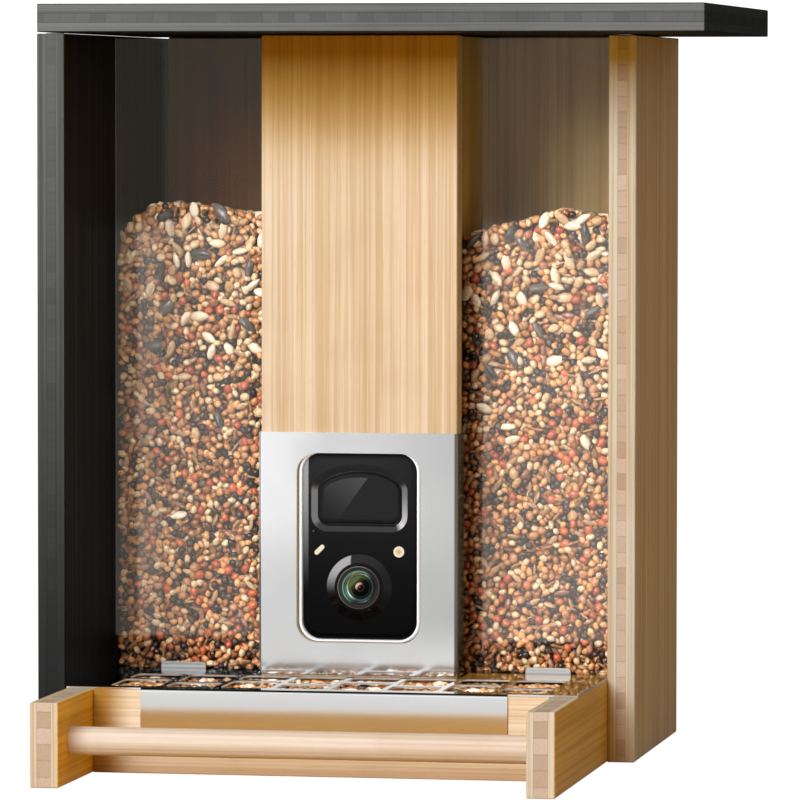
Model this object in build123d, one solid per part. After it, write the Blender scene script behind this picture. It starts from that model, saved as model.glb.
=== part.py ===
from build123d import *
from math import atan2, cos, sin
import os

# Bird feeder with two seed hoppers, a camera column between them, a hinged roof and a lift-out
# seed plate. Lengths are in millimetres. X runs to the right, Y to the rear and Z up. Pieces are
# drawn from the left side board's outer face, the roof's front plane and the ground, and are moved
# to the middle of the footprint when they are written out.

# Three-ply bamboo boards
BOARD = 12.7
EDGE_EASE = 0.4
BODY_WIDTH = 260.0
BODY_DEPTH = 227.0
BODY_HEIGHT = 333.3
RIGHT_SETBACK = 86.0
ROOF_WIDTH = 303.0
ROOF_GAP = 0.7
BACK_GAP = 0.1

# Column between the hoppers
COLUMN_MIDDLE = 133.65
COLUMN_WIDTH = 91.3
COLUMN_INSIDE = 58.3
COLUMN_SETBACK = 73.3
WINDOW_WIDTH = 58.1
WINDOW_HEIGHT = 88.7
WINDOW_BOTTOM = 54.1
WINDOW_CORNER = 9.5

# Perch rails, apron and perch
RAIL_HEIGHT = 37.8
RAIL_REACH = 67.0
PERCH_DIAMETER = 12.7
PERCH_SETBACK = 23.5
PERCH_SOCKET = 6.0
PERCH_FIT = 0.05

# Seed plate
PLATE_SHEET = 0.8
PLATE_SEAT = 0.1
PLATE_SIDE_GAP = 0.4
PLATE_DEPTH = 100.0
PLATE_BEND = 1.6
LIP_WIDTH = 167.7
LIP_DROP = 24.0
LIP_GAP = 0.2
NOTCH_GAP = 0.5
PATTERN_SHIFT = 1.5
SLOT_COLUMNS = 8
SLOT_PITCH = 25.4
SLOT_WIDTH = 22.9
SLOT_LONG = 34.0
SLOT_SHORT = 21.5
SLOT_RIB = 4.0
SLOT_SETBACK = 8.5
SLOT_CORNER = 4.0
TAB_WIDTH = 21.0
TAB_HEIGHT = 3.0
TAB_CORNER = 1.3
TAB_SPREAD = 172.3

# Hopper panes and chutes
PANE = 3.0
PANE_SETBACK = 100.5
PANE_GROOVE = 4.0
PANE_FIT = 0.1
PANE_LIFT = 1.1
PANE_TOP_GAP = 1.3
CHUTE = 6.0
CHUTE_RISE = 62.0
CHUTE_RUN = 84.0

# Camera faceplate
FACEPLATE_SHEET = 1.0
FACEPLATE_BOTTOM = 39.5
FACEPLATE_TOP = 150.9
FACEPLATE_FOLD = 1.6
FACEPLATE_NICK = 1.6
FACEPLATE_COVER = 1.3
FACEPLATE_SIDE_FIT = 0.1
FACEPLATE_FRONT_FIT = 0.3

# Roof hinges
HINGE_INSET = 50.0
HINGE_WIDTH = 40.0
HINGE_LEAF = 1.2
HINGE_HEIGHT = 20.0
HINGE_ROOF_HEIGHT = 11.6
HINGE_KNUCKLE = 2.4
HINGE_PIN = 1.2
HINGE_FIT = 0.05
HINGE_PLAY = 0.3
HINGE_SCREW_SPREAD = 26.0

# Magnets that hold the roof shut
MAGNET_RADIUS = 4.0
MAGNET_DEPTH = 3.0
MAGNET_PROUD = 0.4
MAGNET_SETBACK = 9.0
MAGNET_FIT = 0.1

# Wood screws and dowels
SCREW_HEAD = 3.6
SCREW_SHANK = 1.8
SCREW_LENGTH = 30.0
RAIL_SCREW_LENGTH = 21.0
SMALL_HEAD = 2.4
SMALL_SHANK = 1.2
SMALL_LENGTH = 9.0
SCREW_FIT = 0.05
DOWEL_RADIUS = 3.0
DOWEL_LENGTH = 20.0
DOWEL_BITE = 8.0
DOWEL_FIT = 0.05
BOARD_SCREW_HEIGHTS_SHARE = (0.14, 0.86)
SIDE_DOWEL_HEIGHTS_SHARE = (0.2, 0.5, 0.8)
RAIL_SCREW_PLACES_SHARE = (0.58, 0.94)
FLOOR_DOWEL_PLACES_SHARE = (0.3, 0.75)

# Fixings to a wall and to a pole
WALL_HOLE_RADIUS = 2.0
WALL_HOLE_DEPTH = 9.0
WALL_HOLE_SPREAD = 158.0
WALL_HOLE_DROP = 34.0
INSERT_BORE = 3.175
INSERT_BODY = 5.0
INSERT_FLANGE = 10.0
INSERT_RIM = 1.6
INSERT_LENGTH = 10.0
INSERT_FIT = 0.05
DRAIN_RADIUS = 1.9
DRAIN_PLACES_SHARE = (0.2, 0.5, 0.8)

# Service opening behind the camera
SERVICE_WIDTH = 44.0
SERVICE_HEIGHT = 92.0
SERVICE_BOTTOM = 52.0
SERVICE_LEDGE = 6.0
SERVICE_COVER = 5.0
SERVICE_FIT = 0.3

# Camera
CAMERA_WIDTH = 56.2
CAMERA_HEIGHT = 88.0
CAMERA_DEPTH = 46.0
CAMERA_CORNER = 9.4
CAMERA_RECESS = 2.2
CAMERA_WALL = 2.4
CAMERA_RIM_EASE = 0.4
CAMERA_REAR_ROUND = 2.0
FACE_WIDTH = 53.9
FACE_HEIGHT = 86.0
FACE_CORNER = 8.8
FACE_THICK = 3.0
FACE_ROUND = 2.8
FACE_DROP = 0.3
FACE_FIT = 0.1
WEB = 2.0
SENSOR_WIDTH = 38.0
SENSOR_SIDE = 15.2
SENSOR_ARCH = 8.9
SENSOR_CORNER = 4.0
SENSOR_TOP = 8.6
SENSOR_BULGE = 3.6
SENSOR_ROUND = 2.6
RECESS_MARGIN = 3.5
RECESS_DEPTH = 1.6
RECESS_FLOOR = 0.7
LENS_DROP = 61.8
BEZEL_RADIUS = 11.3
BEZEL_STEP = 9.5
BEZEL_BORE = 7.2
BEZEL_PROUD = 1.0
BEZEL_DISH = 1.0
SWELL_RADIUS = 15.2
SWELL_HEIGHT = 1.1
BARREL_RADIUS = 6.8
BARREL_BORE = 5.6
BARREL_LENGTH = 15.0
GLASS_RADIUS = 6.5
GLASS_CROWN = 1.0
GLASS_EDGE = 0.6
LAMP_DROP = 45.2
LAMP_OFFSET = 18.5
LAMP_RADIUS = 2.5
LIGHT_DROP = 44.7
LIGHT_OFFSET = 18.7
LIGHT_LENGTH = 5.7
LIGHT_WIDTH = 2.1
LIGHT_TILT = 45.0
LIGHT_PIPE = 4.4
MIC_RADIUS = 0.4
MIC_DROP = 36.1
MIC_OFFSET = 21.6
SEAT_FIT = 0.05

# Camera internals and rear cover
BACK_THICK = 3.0
GASKET = 1.0
GASKET_WIDTH = 1.6
CASE_POST = 3.2
CASE_POST_INSET = 8.0
CASE_POST_LENGTH = 14.0
CASE_HEAD = 2.0
CASE_SHANK = 1.0
CASE_LENGTH = 10.0
PCB = 1.6
SENSOR_PCB_WIDTH = 24.0
MAIN_PCB_WIDTH = 48.0
MAIN_PCB_HEIGHT = 56.0
MAIN_PCB_GAP = 4.9
CHIP = 10.0
CHIP_RISE = 1.2
MOTION_RADIUS = 4.6
MOTION_LENGTH = 4.0
CELL_RADIUS = 9.1
CELL_LENGTH = 65.0
CELL_SPREAD = 19.0
CELL_GAP = 1.2
SPEAKER_RADIUS = 7.0
SPEAKER_DEPTH = 5.0
BUTTON_RADIUS = 4.0
BUTTON_TRAVEL = 0.8
BUTTON_STAY = 0.4
BUTTON_FLANGE = 5.2
BUTTON_PLAY = 0.06
BUTTON_DROP = 16.0
PORT_WIDTH = 13.0
PORT_HEIGHT = 7.0
PORT_CORNER = 2.4
PORT_DROP = 82.0
PORT_COVER = 1.4
SOCKET_WIDTH = 9.0
SOCKET_HEIGHT = 3.3
SOCKET_DEPTH = 7.5

# Camera cradle and its clamp
CRADLE_SHEET = 1.5
CRADLE_DEPTH = 34.0
CRADLE_GAP = 1.0
CRADLE_FLANGE = 18.0
CRADLE_FOLD = 3.0
CRADLE_FIT = 0.05
CLAMP_RADIUS = 3.1
CLAMP_REACH = 6.0
KNOB_RADIUS = 9.0
KNOB_HEIGHT = 8.0
KNOB_LOBES = 8
KNOB_SCALLOP = 2.2

OVERRUN = 5.0

# Places worked out from the sizes above
WALL_LEFT = BOARD
WALL_RIGHT = BODY_WIDTH - BOARD
RAIL_LEFT = WALL_LEFT + BOARD
RAIL_RIGHT = WALL_RIGHT - BOARD
BACK_FACE = BODY_DEPTH - BOARD
ROOF_UNDERSIDE = BODY_HEIGHT + ROOF_GAP
COLUMN_BACK = COLUMN_SETBACK + BOARD
COLUMN_LEFT = COLUMN_MIDDLE - COLUMN_WIDTH / 2
COLUMN_RIGHT = COLUMN_MIDDLE + COLUMN_WIDTH / 2
BAY_LEFT = COLUMN_MIDDLE - COLUMN_INSIDE / 2 - BOARD
BAY_RIGHT = COLUMN_MIDDLE + COLUMN_INSIDE / 2 + BOARD
PLATE_UNDER = RAIL_HEIGHT + PLATE_SEAT
PLATE_TOP = PLATE_UNDER + PLATE_SHEET
PANE_BOTTOM = PLATE_TOP + PANE_LIFT
PANE_TOP = BODY_HEIGHT - PANE_TOP_GAP
WINDOW_MIDDLE = WINDOW_BOTTOM + WINDOW_HEIGHT / 2
HINGE_Y = BODY_DEPTH + HINGE_KNUCKLE
HINGE_Z = BODY_HEIGHT + ROOF_GAP / 2
HINGE_MIDDLES = (HINGE_INSET, BODY_WIDTH - HINGE_INSET)
FACEPLATE_FRONT = COLUMN_SETBACK - FACEPLATE_FRONT_FIT - FACEPLATE_SHEET
CAMERA_FRONT = FACEPLATE_FRONT + CAMERA_RECESS
CAMERA_BACK = CAMERA_FRONT + CAMERA_DEPTH
FACE_FRONT = CAMERA_FRONT + FACE_DROP
FACE_BACK = FACE_FRONT + FACE_THICK
FACE_TOP = WINDOW_MIDDLE + FACE_HEIGHT / 2
CAMERA_UNDER = WINDOW_MIDDLE - CAMERA_HEIGHT / 2
CAMERA_TOP = WINDOW_MIDDLE + CAMERA_HEIGHT / 2
WEB_BACK = FACE_BACK + SEAT_FIT + WEB
SHELL_BACK = CAMERA_BACK - BACK_THICK - GASKET
REAR = HINGE_Y + HINGE_KNUCKLE
ORIGIN = Pos(-ROOF_WIDTH / 2, -(REAR - RAIL_REACH) / 2, 0)


def block(x, y, z):
    """Box between two places along each axis."""
    sizes = [high - low for low, high in (x, y, z)]
    return Pos(x[0], y[0], z[0]) * Box(*sizes, align=(Align.MIN, Align.MIN, Align.MIN))


def board(x, y, z):
    """Sawn board with its edges eased."""
    blank = block(x, y, z)
    return chamfer(blank.edges(), EDGE_EASE)


def rod(start, toward, radius, length):
    """Plain cylinder that runs from a point."""
    return extrude(Plane(start, z_dir=toward) * Circle(radius), length)


def screw(start, toward, head, shank, length, spare=0):
    """Countersunk screw from the face of its head, or the hole for it when it has room to spare."""
    bottom = (Align.CENTER, Align.CENTER, Align.MIN)
    rim = Cone(head + spare, shank + spare, head - shank, align=bottom)
    stem = Cylinder(shank + spare, length + spare, align=bottom)
    return Plane(start, z_dir=toward) * (rim + stem)


def wood_screw(start, toward, length, spare=0):
    """Screw of the carcass."""
    return screw(start, toward, SCREW_HEAD, SCREW_SHANK, length, spare)


def dowel(joint, toward, spare=0):
    """Dowel across a joint: one bite behind the joint's face and the rest ahead of it."""
    start = Vector(*joint) - Vector(*toward) * (DOWEL_BITE + spare)
    return rod(start, toward, DOWEL_RADIUS + spare, DOWEL_LENGTH + 2 * spare)


def front_shape(shape, front, back):
    """Outline drawn as seen from the front, about the window's middle, made solid from front to back."""
    plane = Plane((COLUMN_MIDDLE, front, WINDOW_MIDDLE), x_dir=(1, 0, 0), z_dir=(0, -1, 0))
    return extrude(plane * shape, front - back)


def place(middles):
    """Points that screws, dowels and holes share, as (start, toward) pairs."""
    return [(Vector(*start), Vector(*toward)) for start, toward in middles]


def carcass_dowel_places():
    """Side boards to the back board."""
    heights = [BODY_HEIGHT * share for share in SIDE_DOWEL_HEIGHTS_SHARE]
    depth = BODY_DEPTH - BOARD / 2
    sides = ((WALL_LEFT, 1), (WALL_RIGHT, -1))
    return place([((x, depth, z), (way, 0, 0)) for x, way in sides for z in heights])


def column_dowel_places():
    """Column front board to the front edges of the partitions."""
    heights = [BODY_HEIGHT * share for share in SIDE_DOWEL_HEIGHTS_SHARE[1:]]
    middles = (BAY_LEFT + BOARD / 2, BAY_RIGHT - BOARD / 2)
    return place([((x, COLUMN_BACK, z), (0, 1, 0)) for x in middles for z in heights])


def tray_dowel_places():
    """Rails to the ends of the apron and to the sides of the floor."""
    places = []
    for x, way in ((RAIL_LEFT, 1), (RAIL_RIGHT, -1)):
        for share in FLOOR_DOWEL_PLACES_SHARE:
            places.append(((x, BOARD / 2, RAIL_HEIGHT * share), (way, 0, 0)))
            places.append(((x, BODY_DEPTH * share, BOARD / 2), (way, 0, 0)))
    return place(places)


def back_screw_places():
    """Through the back board into the partitions, the rails and the floor."""
    places = []
    for x in (BAY_LEFT + BOARD / 2, BAY_RIGHT - BOARD / 2):
        for share in BOARD_SCREW_HEIGHTS_SHARE:
            places.append(((x, BODY_DEPTH, BODY_HEIGHT * share), (0, -1, 0)))
        places.append(((x, BODY_DEPTH, BOARD / 2), (0, -1, 0)))
    for x in (WALL_LEFT + BOARD / 2, WALL_RIGHT - BOARD / 2):
        places.append(((x, BODY_DEPTH, RAIL_HEIGHT / 2), (0, -1, 0)))
    return place(places)


def rail_screw_places():
    """Through the rails into the side boards."""
    height = (RAIL_HEIGHT + BOARD) / 2
    places = []
    for x, way in ((RAIL_LEFT, -1), (RAIL_RIGHT, 1)):
        for share in RAIL_SCREW_PLACES_SHARE:
            depth = RIGHT_SETBACK + (BODY_DEPTH - RIGHT_SETBACK) * (share - 1 / 2)
            places.append(((x, depth, height), (way, 0, 0)))
    return place(places)


def dowels(places, spare=0):
    """Every dowel of a group, or their holes."""
    return [dowel(start, toward, spare) for start, toward in places]


def wood_screws(places, length, spare=0):
    """Every screw of a group, or their holes."""
    return [wood_screw(start, toward, length, spare) for start, toward in places]


def magnet_places():
    """Middles of the magnets in the tops of the side boards, near their front ends."""
    left = (BOARD / 2, MAGNET_SETBACK)
    right = (BODY_WIDTH - BOARD / 2, RIGHT_SETBACK + MAGNET_SETBACK)
    return (left, right)


def frame_magnets(spare=0):
    """Magnets in the side boards, just proud of the wood."""
    bottom = BODY_HEIGHT + MAGNET_PROUD - MAGNET_DEPTH
    return [
        rod((x, y, bottom), (0, 0, 1), MAGNET_RADIUS + spare, MAGNET_DEPTH)
        for x, y in magnet_places()
    ]


def roof_magnets(spare=0):
    """Magnets let into the underside of the roof."""
    return [
        rod((x, y, ROOF_UNDERSIDE), (0, 0, 1), MAGNET_RADIUS + spare, MAGNET_DEPTH)
        for x, y in magnet_places()
    ]


def pane_box(left, spare=0):
    """Clear pane of one hopper, or the room that its grooves leave for it."""
    low, high = (WALL_LEFT, BAY_LEFT) if left else (BAY_RIGHT, WALL_RIGHT)
    x = (low - PANE_GROOVE + PANE_FIT - spare, high + PANE_GROOVE - PANE_FIT + spare)
    top = PANE_TOP + OVERRUN if spare else PANE_TOP
    return block(x, (PANE_SETBACK - spare, PANE_SETBACK + PANE + spare), (PANE_BOTTOM, top))


def side_board(left):
    """Side board with a pane groove, dowel and screw holes and a magnet pocket."""
    x = (0, BOARD) if left else (WALL_RIGHT, BODY_WIDTH)
    front = 0 if left else RIGHT_SETBACK
    cuts = dowels(carcass_dowel_places(), DOWEL_FIT)
    cuts += wood_screws(rail_screw_places(), RAIL_SCREW_LENGTH, SCREW_FIT)
    cuts += frame_magnets(MAGNET_FIT)
    cuts.append(pane_box(left, PANE_FIT))
    return board(x, (front, BODY_DEPTH), (0, BODY_HEIGHT)) - cuts


def partition(left):
    """Column partition that stands on the tray floor, with the other groove of the pane."""
    x = (BAY_LEFT, BAY_LEFT + BOARD) if left else (BAY_RIGHT - BOARD, BAY_RIGHT)
    cuts = dowels(column_dowel_places(), DOWEL_FIT)
    cuts += wood_screws(back_screw_places(), SCREW_LENGTH, SCREW_FIT)
    cuts += screws_of_cradle(SCREW_FIT)
    cuts.append(pane_box(left, PANE_FIT))
    return board(x, (COLUMN_BACK, BACK_FACE), (BOARD, BODY_HEIGHT)) - cuts


def window_opening(front, back):
    """Rounded window that the camera looks out of."""
    return front_shape(RectangleRounded(WINDOW_WIDTH, WINDOW_HEIGHT, WINDOW_CORNER), front, back)


def faceplate_opening():
    """Window through the faceplate: lower than the board's, so that it hides the camera's top rim."""
    opening = RectangleRounded(WINDOW_WIDTH, WINDOW_HEIGHT - FACEPLATE_COVER, WINDOW_CORNER)
    return front_shape(Pos(0, -FACEPLATE_COVER / 2) * opening, FACEPLATE_FRONT - OVERRUN, COLUMN_BACK)


def column_front_board():
    """Front board of the column, with the camera's window."""
    blank = board((COLUMN_LEFT, COLUMN_RIGHT), (COLUMN_SETBACK, COLUMN_BACK), (BOARD, BODY_HEIGHT))
    window = window_opening(COLUMN_SETBACK - OVERRUN, COLUMN_BACK + OVERRUN)
    return blank - window - dowels(column_dowel_places(), DOWEL_FIT)


def service_panel(spare=0):
    """Cover of the opening behind the camera, flush with the back board's rear face."""
    x = SERVICE_WIDTH / 2 + SERVICE_LEDGE - spare
    z = SERVICE_HEIGHT / 2 + SERVICE_LEDGE - spare
    middle = SERVICE_BOTTOM + SERVICE_HEIGHT / 2
    depth = (BODY_DEPTH - SERVICE_COVER, BODY_DEPTH)
    return block((COLUMN_MIDDLE - x, COLUMN_MIDDLE + x), depth, (middle - z, middle + z))


def service_screw_places():
    """Middle of the cover's upper and lower margins."""
    low = SERVICE_BOTTOM - SERVICE_LEDGE / 2
    high = SERVICE_BOTTOM + SERVICE_HEIGHT + SERVICE_LEDGE / 2
    return place([((COLUMN_MIDDLE, BODY_DEPTH, z), (0, -1, 0)) for z in (low, high)])


def small_screws(places, spare=0):
    """Small screws of hinges, cover and cradle, or their holes."""
    return [
        screw(start, toward, SMALL_HEAD, SMALL_SHANK, SMALL_LENGTH, spare)
        for start, toward in places
    ]


def back_board():
    """Back board, up to just under the roof, with its service opening and its screw and bracket holes."""
    half = SERVICE_WIDTH / 2
    opening = block(
        (COLUMN_MIDDLE - half, COLUMN_MIDDLE + half),
        (BACK_FACE - OVERRUN, BODY_DEPTH),
        (SERVICE_BOTTOM, SERVICE_BOTTOM + SERVICE_HEIGHT),
    )
    cuts = [opening, service_panel()]
    for side in (-1, 1):
        x = BODY_WIDTH / 2 + side * WALL_HOLE_SPREAD / 2
        hole = (x, BODY_DEPTH + OVERRUN, BODY_HEIGHT - WALL_HOLE_DROP)
        cuts.append(rod(hole, (0, -1, 0), WALL_HOLE_RADIUS, WALL_HOLE_DEPTH + OVERRUN))
    cuts += dowels(carcass_dowel_places(), DOWEL_FIT)
    cuts += wood_screws(back_screw_places(), SCREW_LENGTH, SCREW_FIT)
    cuts += small_screws(service_screw_places() + hinge_screw_places(False), SCREW_FIT)
    return board((WALL_LEFT, WALL_RIGHT), (BACK_FACE, BODY_DEPTH), (0, ROOF_UNDERSIDE - BACK_GAP)) - cuts


def perch_rail(left):
    """Rail that carries the plate and reaches forward to the perch."""
    x = (WALL_LEFT, RAIL_LEFT) if left else (RAIL_RIGHT, WALL_RIGHT)
    cuts = [perch(PERCH_FIT)]
    cuts += dowels(tray_dowel_places(), DOWEL_FIT)
    cuts += wood_screws(rail_screw_places(), RAIL_SCREW_LENGTH, SCREW_FIT)
    cuts += wood_screws(back_screw_places(), SCREW_LENGTH, SCREW_FIT)
    return board(x, (-RAIL_REACH, BACK_FACE), (0, RAIL_HEIGHT)) - cuts


def perch(spare=0):
    """Perch dowel between the rails."""
    start = (RAIL_LEFT - PERCH_SOCKET - spare, PERCH_SETBACK - RAIL_REACH, RAIL_HEIGHT / 2)
    length = RAIL_RIGHT - RAIL_LEFT + 2 * PERCH_SOCKET + 2 * spare
    return rod(start, (1, 0, 0), PERCH_DIAMETER / 2 + spare, length)


def tray_apron():
    """Board across the front of the tray."""
    blank = board((RAIL_LEFT, RAIL_RIGHT), (0, BOARD), (0, RAIL_HEIGHT))
    return blank - dowels(tray_dowel_places(), DOWEL_FIT)


def insert_middle():
    """Middle of the threaded insert, under the feeder's body."""
    return (BODY_WIDTH / 2, BODY_DEPTH / 2)


def pole_insert():
    """Flanged threaded insert, flush with the underside."""
    x, y = insert_middle()
    body = rod((x, y, 0), (0, 0, 1), INSERT_BODY, INSERT_LENGTH)
    body += rod((x, y, 0), (0, 0, 1), INSERT_FLANGE, INSERT_RIM)
    return body - rod((x, y, -OVERRUN), (0, 0, 1), INSERT_BORE, INSERT_LENGTH + 2 * OVERRUN)


def tray_floor():
    """Floor of the tray, with drain holes and the seat of the threaded insert."""
    x, y = insert_middle()
    cuts = [
        rod((x, y, 0), (0, 0, 1), INSERT_FLANGE + INSERT_FIT, INSERT_RIM + INSERT_FIT),
        rod((x, y, 0), (0, 0, 1), INSERT_BODY + INSERT_FIT, INSERT_LENGTH + INSERT_FIT),
    ]
    for share in DRAIN_PLACES_SHARE:
        drain = RAIL_LEFT + (RAIL_RIGHT - RAIL_LEFT) * share
        cuts.append(rod((drain, COLUMN_SETBACK / 2, -OVERRUN), (0, 0, 1), DRAIN_RADIUS, BOARD + 2 * OVERRUN))
    cuts += dowels(tray_dowel_places(), DOWEL_FIT)
    cuts += wood_screws(back_screw_places(), SCREW_LENGTH, SCREW_FIT)
    return board((RAIL_LEFT, RAIL_RIGHT), (BOARD, BACK_FACE), (0, BOARD)) - cuts


def seed_chute(left):
    """Sloping board at the foot of a hopper, from the back board down to the tray floor."""
    slope = atan2(CHUTE_RISE, CHUTE_RUN)
    foot = BACK_FACE - CHUTE_RUN
    head = BOARD + CHUTE_RISE
    outline = [
        (BACK_FACE, head),
        (foot, BOARD),
        (foot + CHUTE / sin(slope), BOARD),
        (BACK_FACE, head - CHUTE / cos(slope)),
    ]
    low, high = (WALL_LEFT, BAY_LEFT) if left else (BAY_RIGHT, WALL_RIGHT)
    plane = Plane((low, 0, 0), x_dir=(0, 1, 0), z_dir=(1, 0, 0))
    slab = extrude(plane * make_face(Polyline(*outline, close=True)), high - low)
    rail = (WALL_LEFT, RAIL_LEFT) if left else (RAIL_RIGHT, WALL_RIGHT)
    return slab - block(rail, (0, BACK_FACE), (0, RAIL_HEIGHT))


def camera_faceplate():
    """Sheet folded round the column's front board, with the camera's window."""
    side = COLUMN_WIDTH / 2 + FACEPLATE_SIDE_FIT
    height = (FACEPLATE_BOTTOM, FACEPLATE_TOP)
    inside = (COLUMN_MIDDLE - side, COLUMN_MIDDLE + side)
    outside = (inside[0] - FACEPLATE_SHEET, inside[1] + FACEPLATE_SHEET)
    outer = block(outside, (FACEPLATE_FRONT, COLUMN_BACK), height)
    inner = block(inside, (FACEPLATE_FRONT + FACEPLATE_SHEET, COLUMN_BACK + OVERRUN), height)
    outer = fillet(outer.edges().filter_by(Axis.Z).group_by(Axis.Y)[0], FACEPLATE_FOLD)
    inner = fillet(inner.edges().filter_by(Axis.Z).group_by(Axis.Y)[0], FACEPLATE_FOLD - FACEPLATE_SHEET)
    plate = outer - inner - faceplate_opening()
    edge = side + FACEPLATE_SHEET - FACEPLATE_NICK
    for way in (-1, 1):
        nick = block((0, OVERRUN), (-OVERRUN, OVERRUN), (-OVERRUN, FACEPLATE_NICK))
        nick = nick if way > 0 else mirror(nick, Plane.YZ)
        plate -= Pos(COLUMN_MIDDLE + way * edge, FACEPLATE_FRONT, FACEPLATE_BOTTOM) * nick
    return plate


def slot_columns():
    """Left edge and (front, rear) lengths of each column of slots; the two lengths change places."""
    span = (SLOT_COLUMNS - 1) * SLOT_PITCH + SLOT_WIDTH
    start = BODY_WIDTH / 2 + PATTERN_SHIFT - span / 2
    lengths = ((SLOT_LONG, SLOT_SHORT), (SLOT_SHORT, SLOT_LONG))
    return [(start + n * SLOT_PITCH, lengths[n % 2]) for n in range(SLOT_COLUMNS)]


def plate_slots():
    """Outlines of the slots, in two rows."""
    slots = []
    for left, (front, rear) in slot_columns():
        depth = SLOT_SETBACK
        for length in (front, rear):
            middle = Pos(left + SLOT_WIDTH / 2, depth + length / 2)
            slots.append(middle * RectangleRounded(SLOT_WIDTH, length, SLOT_CORNER))
            depth += length + SLOT_RIB
    return slots


def plate_edges():
    """Left and right edges of the plate."""
    return (WALL_LEFT + PLATE_SIDE_GAP, WALL_RIGHT - PLATE_SIDE_GAP)


def plate_lip():
    """Folded front lip, a quarter bend and a drop in front of the apron."""
    middle = BODY_WIDTH / 2 + PATTERN_SHIFT
    front = -LIP_GAP - PLATE_SHEET
    inside = PLATE_BEND - PLATE_SHEET
    bend = [
        (front + PLATE_BEND, PLATE_TOP),
        (front, PLATE_TOP - PLATE_BEND),
        (front, PLATE_TOP - LIP_DROP),
        (front + PLATE_SHEET, PLATE_TOP - LIP_DROP),
        (front + PLATE_SHEET, PLATE_TOP - PLATE_BEND),
        (front + PLATE_BEND, PLATE_TOP - PLATE_SHEET),
    ]
    outline = [
        RadiusArc(bend[0], bend[1], -PLATE_BEND),
        Line(bend[1], bend[2]),
        Line(bend[2], bend[3]),
        Line(bend[3], bend[4]),
        RadiusArc(bend[4], bend[5], inside),
        Line(bend[5], bend[0]),
    ]
    plane = Plane((middle - LIP_WIDTH / 2, 0, 0), x_dir=(0, 1, 0), z_dir=(1, 0, 0))
    return extrude(plane * make_face(outline), LIP_WIDTH)


def plate_tab(middle):
    """Finger tab folded up at the plate's rear edge."""
    tab = block(
        (middle - TAB_WIDTH / 2, middle + TAB_WIDTH / 2),
        (PLATE_DEPTH - PLATE_SHEET, PLATE_DEPTH),
        (PLATE_UNDER, PLATE_TOP + TAB_HEIGHT),
    )
    return fillet(tab.edges().filter_by(Axis.Y).group_by(Axis.Z)[-1], TAB_CORNER)


def seed_plate():
    """Polished plate with slots, a notch for the column, a front lip and two finger tabs."""
    low, high = plate_edges()
    front = PLATE_BEND - LIP_GAP - PLATE_SHEET
    sheet = Pos((low + high) / 2, (front + PLATE_DEPTH) / 2) * Rectangle(high - low, PLATE_DEPTH - front)
    side = COLUMN_WIDTH / 2 + FACEPLATE_SIDE_FIT + FACEPLATE_SHEET + NOTCH_GAP
    notch_front = FACEPLATE_FRONT - NOTCH_GAP
    notch_size = PLATE_DEPTH + OVERRUN - notch_front
    sheet -= Pos(COLUMN_MIDDLE, notch_front + notch_size / 2) * Rectangle(2 * side, notch_size)
    sheet -= plate_slots()
    plate = Pos(0, 0, PLATE_UNDER) * extrude(sheet, PLATE_SHEET)
    for side in (-1, 1):
        plate += plate_tab(BODY_WIDTH / 2 + PATTERN_SHIFT + side * TAB_SPREAD / 2)
    return plate + plate_lip()


def hinge_screw_places(on_roof):
    """Two screws in each leaf."""
    if on_roof:
        height = ROOF_UNDERSIDE + BOARD / 2 + HINGE_PLAY
    else:
        height = BODY_HEIGHT - HINGE_HEIGHT / 2
    spread = HINGE_SCREW_SPREAD / 2
    return place([
        ((middle + side * spread, BODY_DEPTH + HINGE_LEAF, height), (0, -1, 0))
        for middle in HINGE_MIDDLES for side in (-1, 1)
    ])


def knuckle(middle, share_low, share_high, play_low, play_high):
    """Stretch of a hinge's barrel, by shares of the hinge's width."""
    low = middle + HINGE_WIDTH * (share_low - 1 / 2) + play_low
    high = middle + HINGE_WIDTH * (share_high - 1 / 2) - play_high
    return (low, high)


def barrel(stretch):
    """Solid stretch of barrel round the hinge's axis."""
    return rod((stretch[0], HINGE_Y, HINGE_Z), (1, 0, 0), HINGE_KNUCKLE, stretch[1] - stretch[0])


def hinge_leaf(middle, on_roof):
    """Leaf with its knuckles: two on the fixed leaf, one between them on the roof's leaf."""
    third = 1 / 3
    if on_roof:
        stretches = [knuckle(middle, third, 2 * third, HINGE_PLAY / 2, HINGE_PLAY / 2)]
        plate_z = (HINGE_Z + HINGE_KNUCKLE + HINGE_PLAY, ROOF_UNDERSIDE + HINGE_ROOF_HEIGHT)
        neck_z = (HINGE_Z, plate_z[0])
    else:
        stretches = [
            knuckle(middle, 0, third, 0, HINGE_PLAY / 2),
            knuckle(middle, 2 * third, 1, HINGE_PLAY / 2, 0),
        ]
        plate_z = (BODY_HEIGHT - HINGE_HEIGHT, HINGE_Z - HINGE_KNUCKLE - HINGE_PLAY)
        neck_z = (plate_z[1], HINGE_Z)
    plate_y = (BODY_DEPTH, BODY_DEPTH + HINGE_LEAF)
    leaf = block((middle - HINGE_WIDTH / 2, middle + HINGE_WIDTH / 2), plate_y, plate_z)
    for stretch in stretches:
        leaf += block(stretch, plate_y, neck_z) + barrel(stretch)
    bore = rod((middle - HINGE_WIDTH, HINGE_Y, HINGE_Z), (1, 0, 0), HINGE_PIN + HINGE_FIT, 2 * HINGE_WIDTH)
    return leaf - bore - small_screws(hinge_screw_places(on_roof), SCREW_FIT)


def hinge_leaves(on_roof):
    """Both leaves on the roof or on the back board."""
    return [hinge_leaf(middle, on_roof) for middle in HINGE_MIDDLES]


def hinge_pins():
    """Pins of the two hinges."""
    return [
        rod((middle - HINGE_WIDTH / 2, HINGE_Y, HINGE_Z), (1, 0, 0), HINGE_PIN, HINGE_WIDTH)
        for middle in HINGE_MIDDLES
    ]


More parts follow.
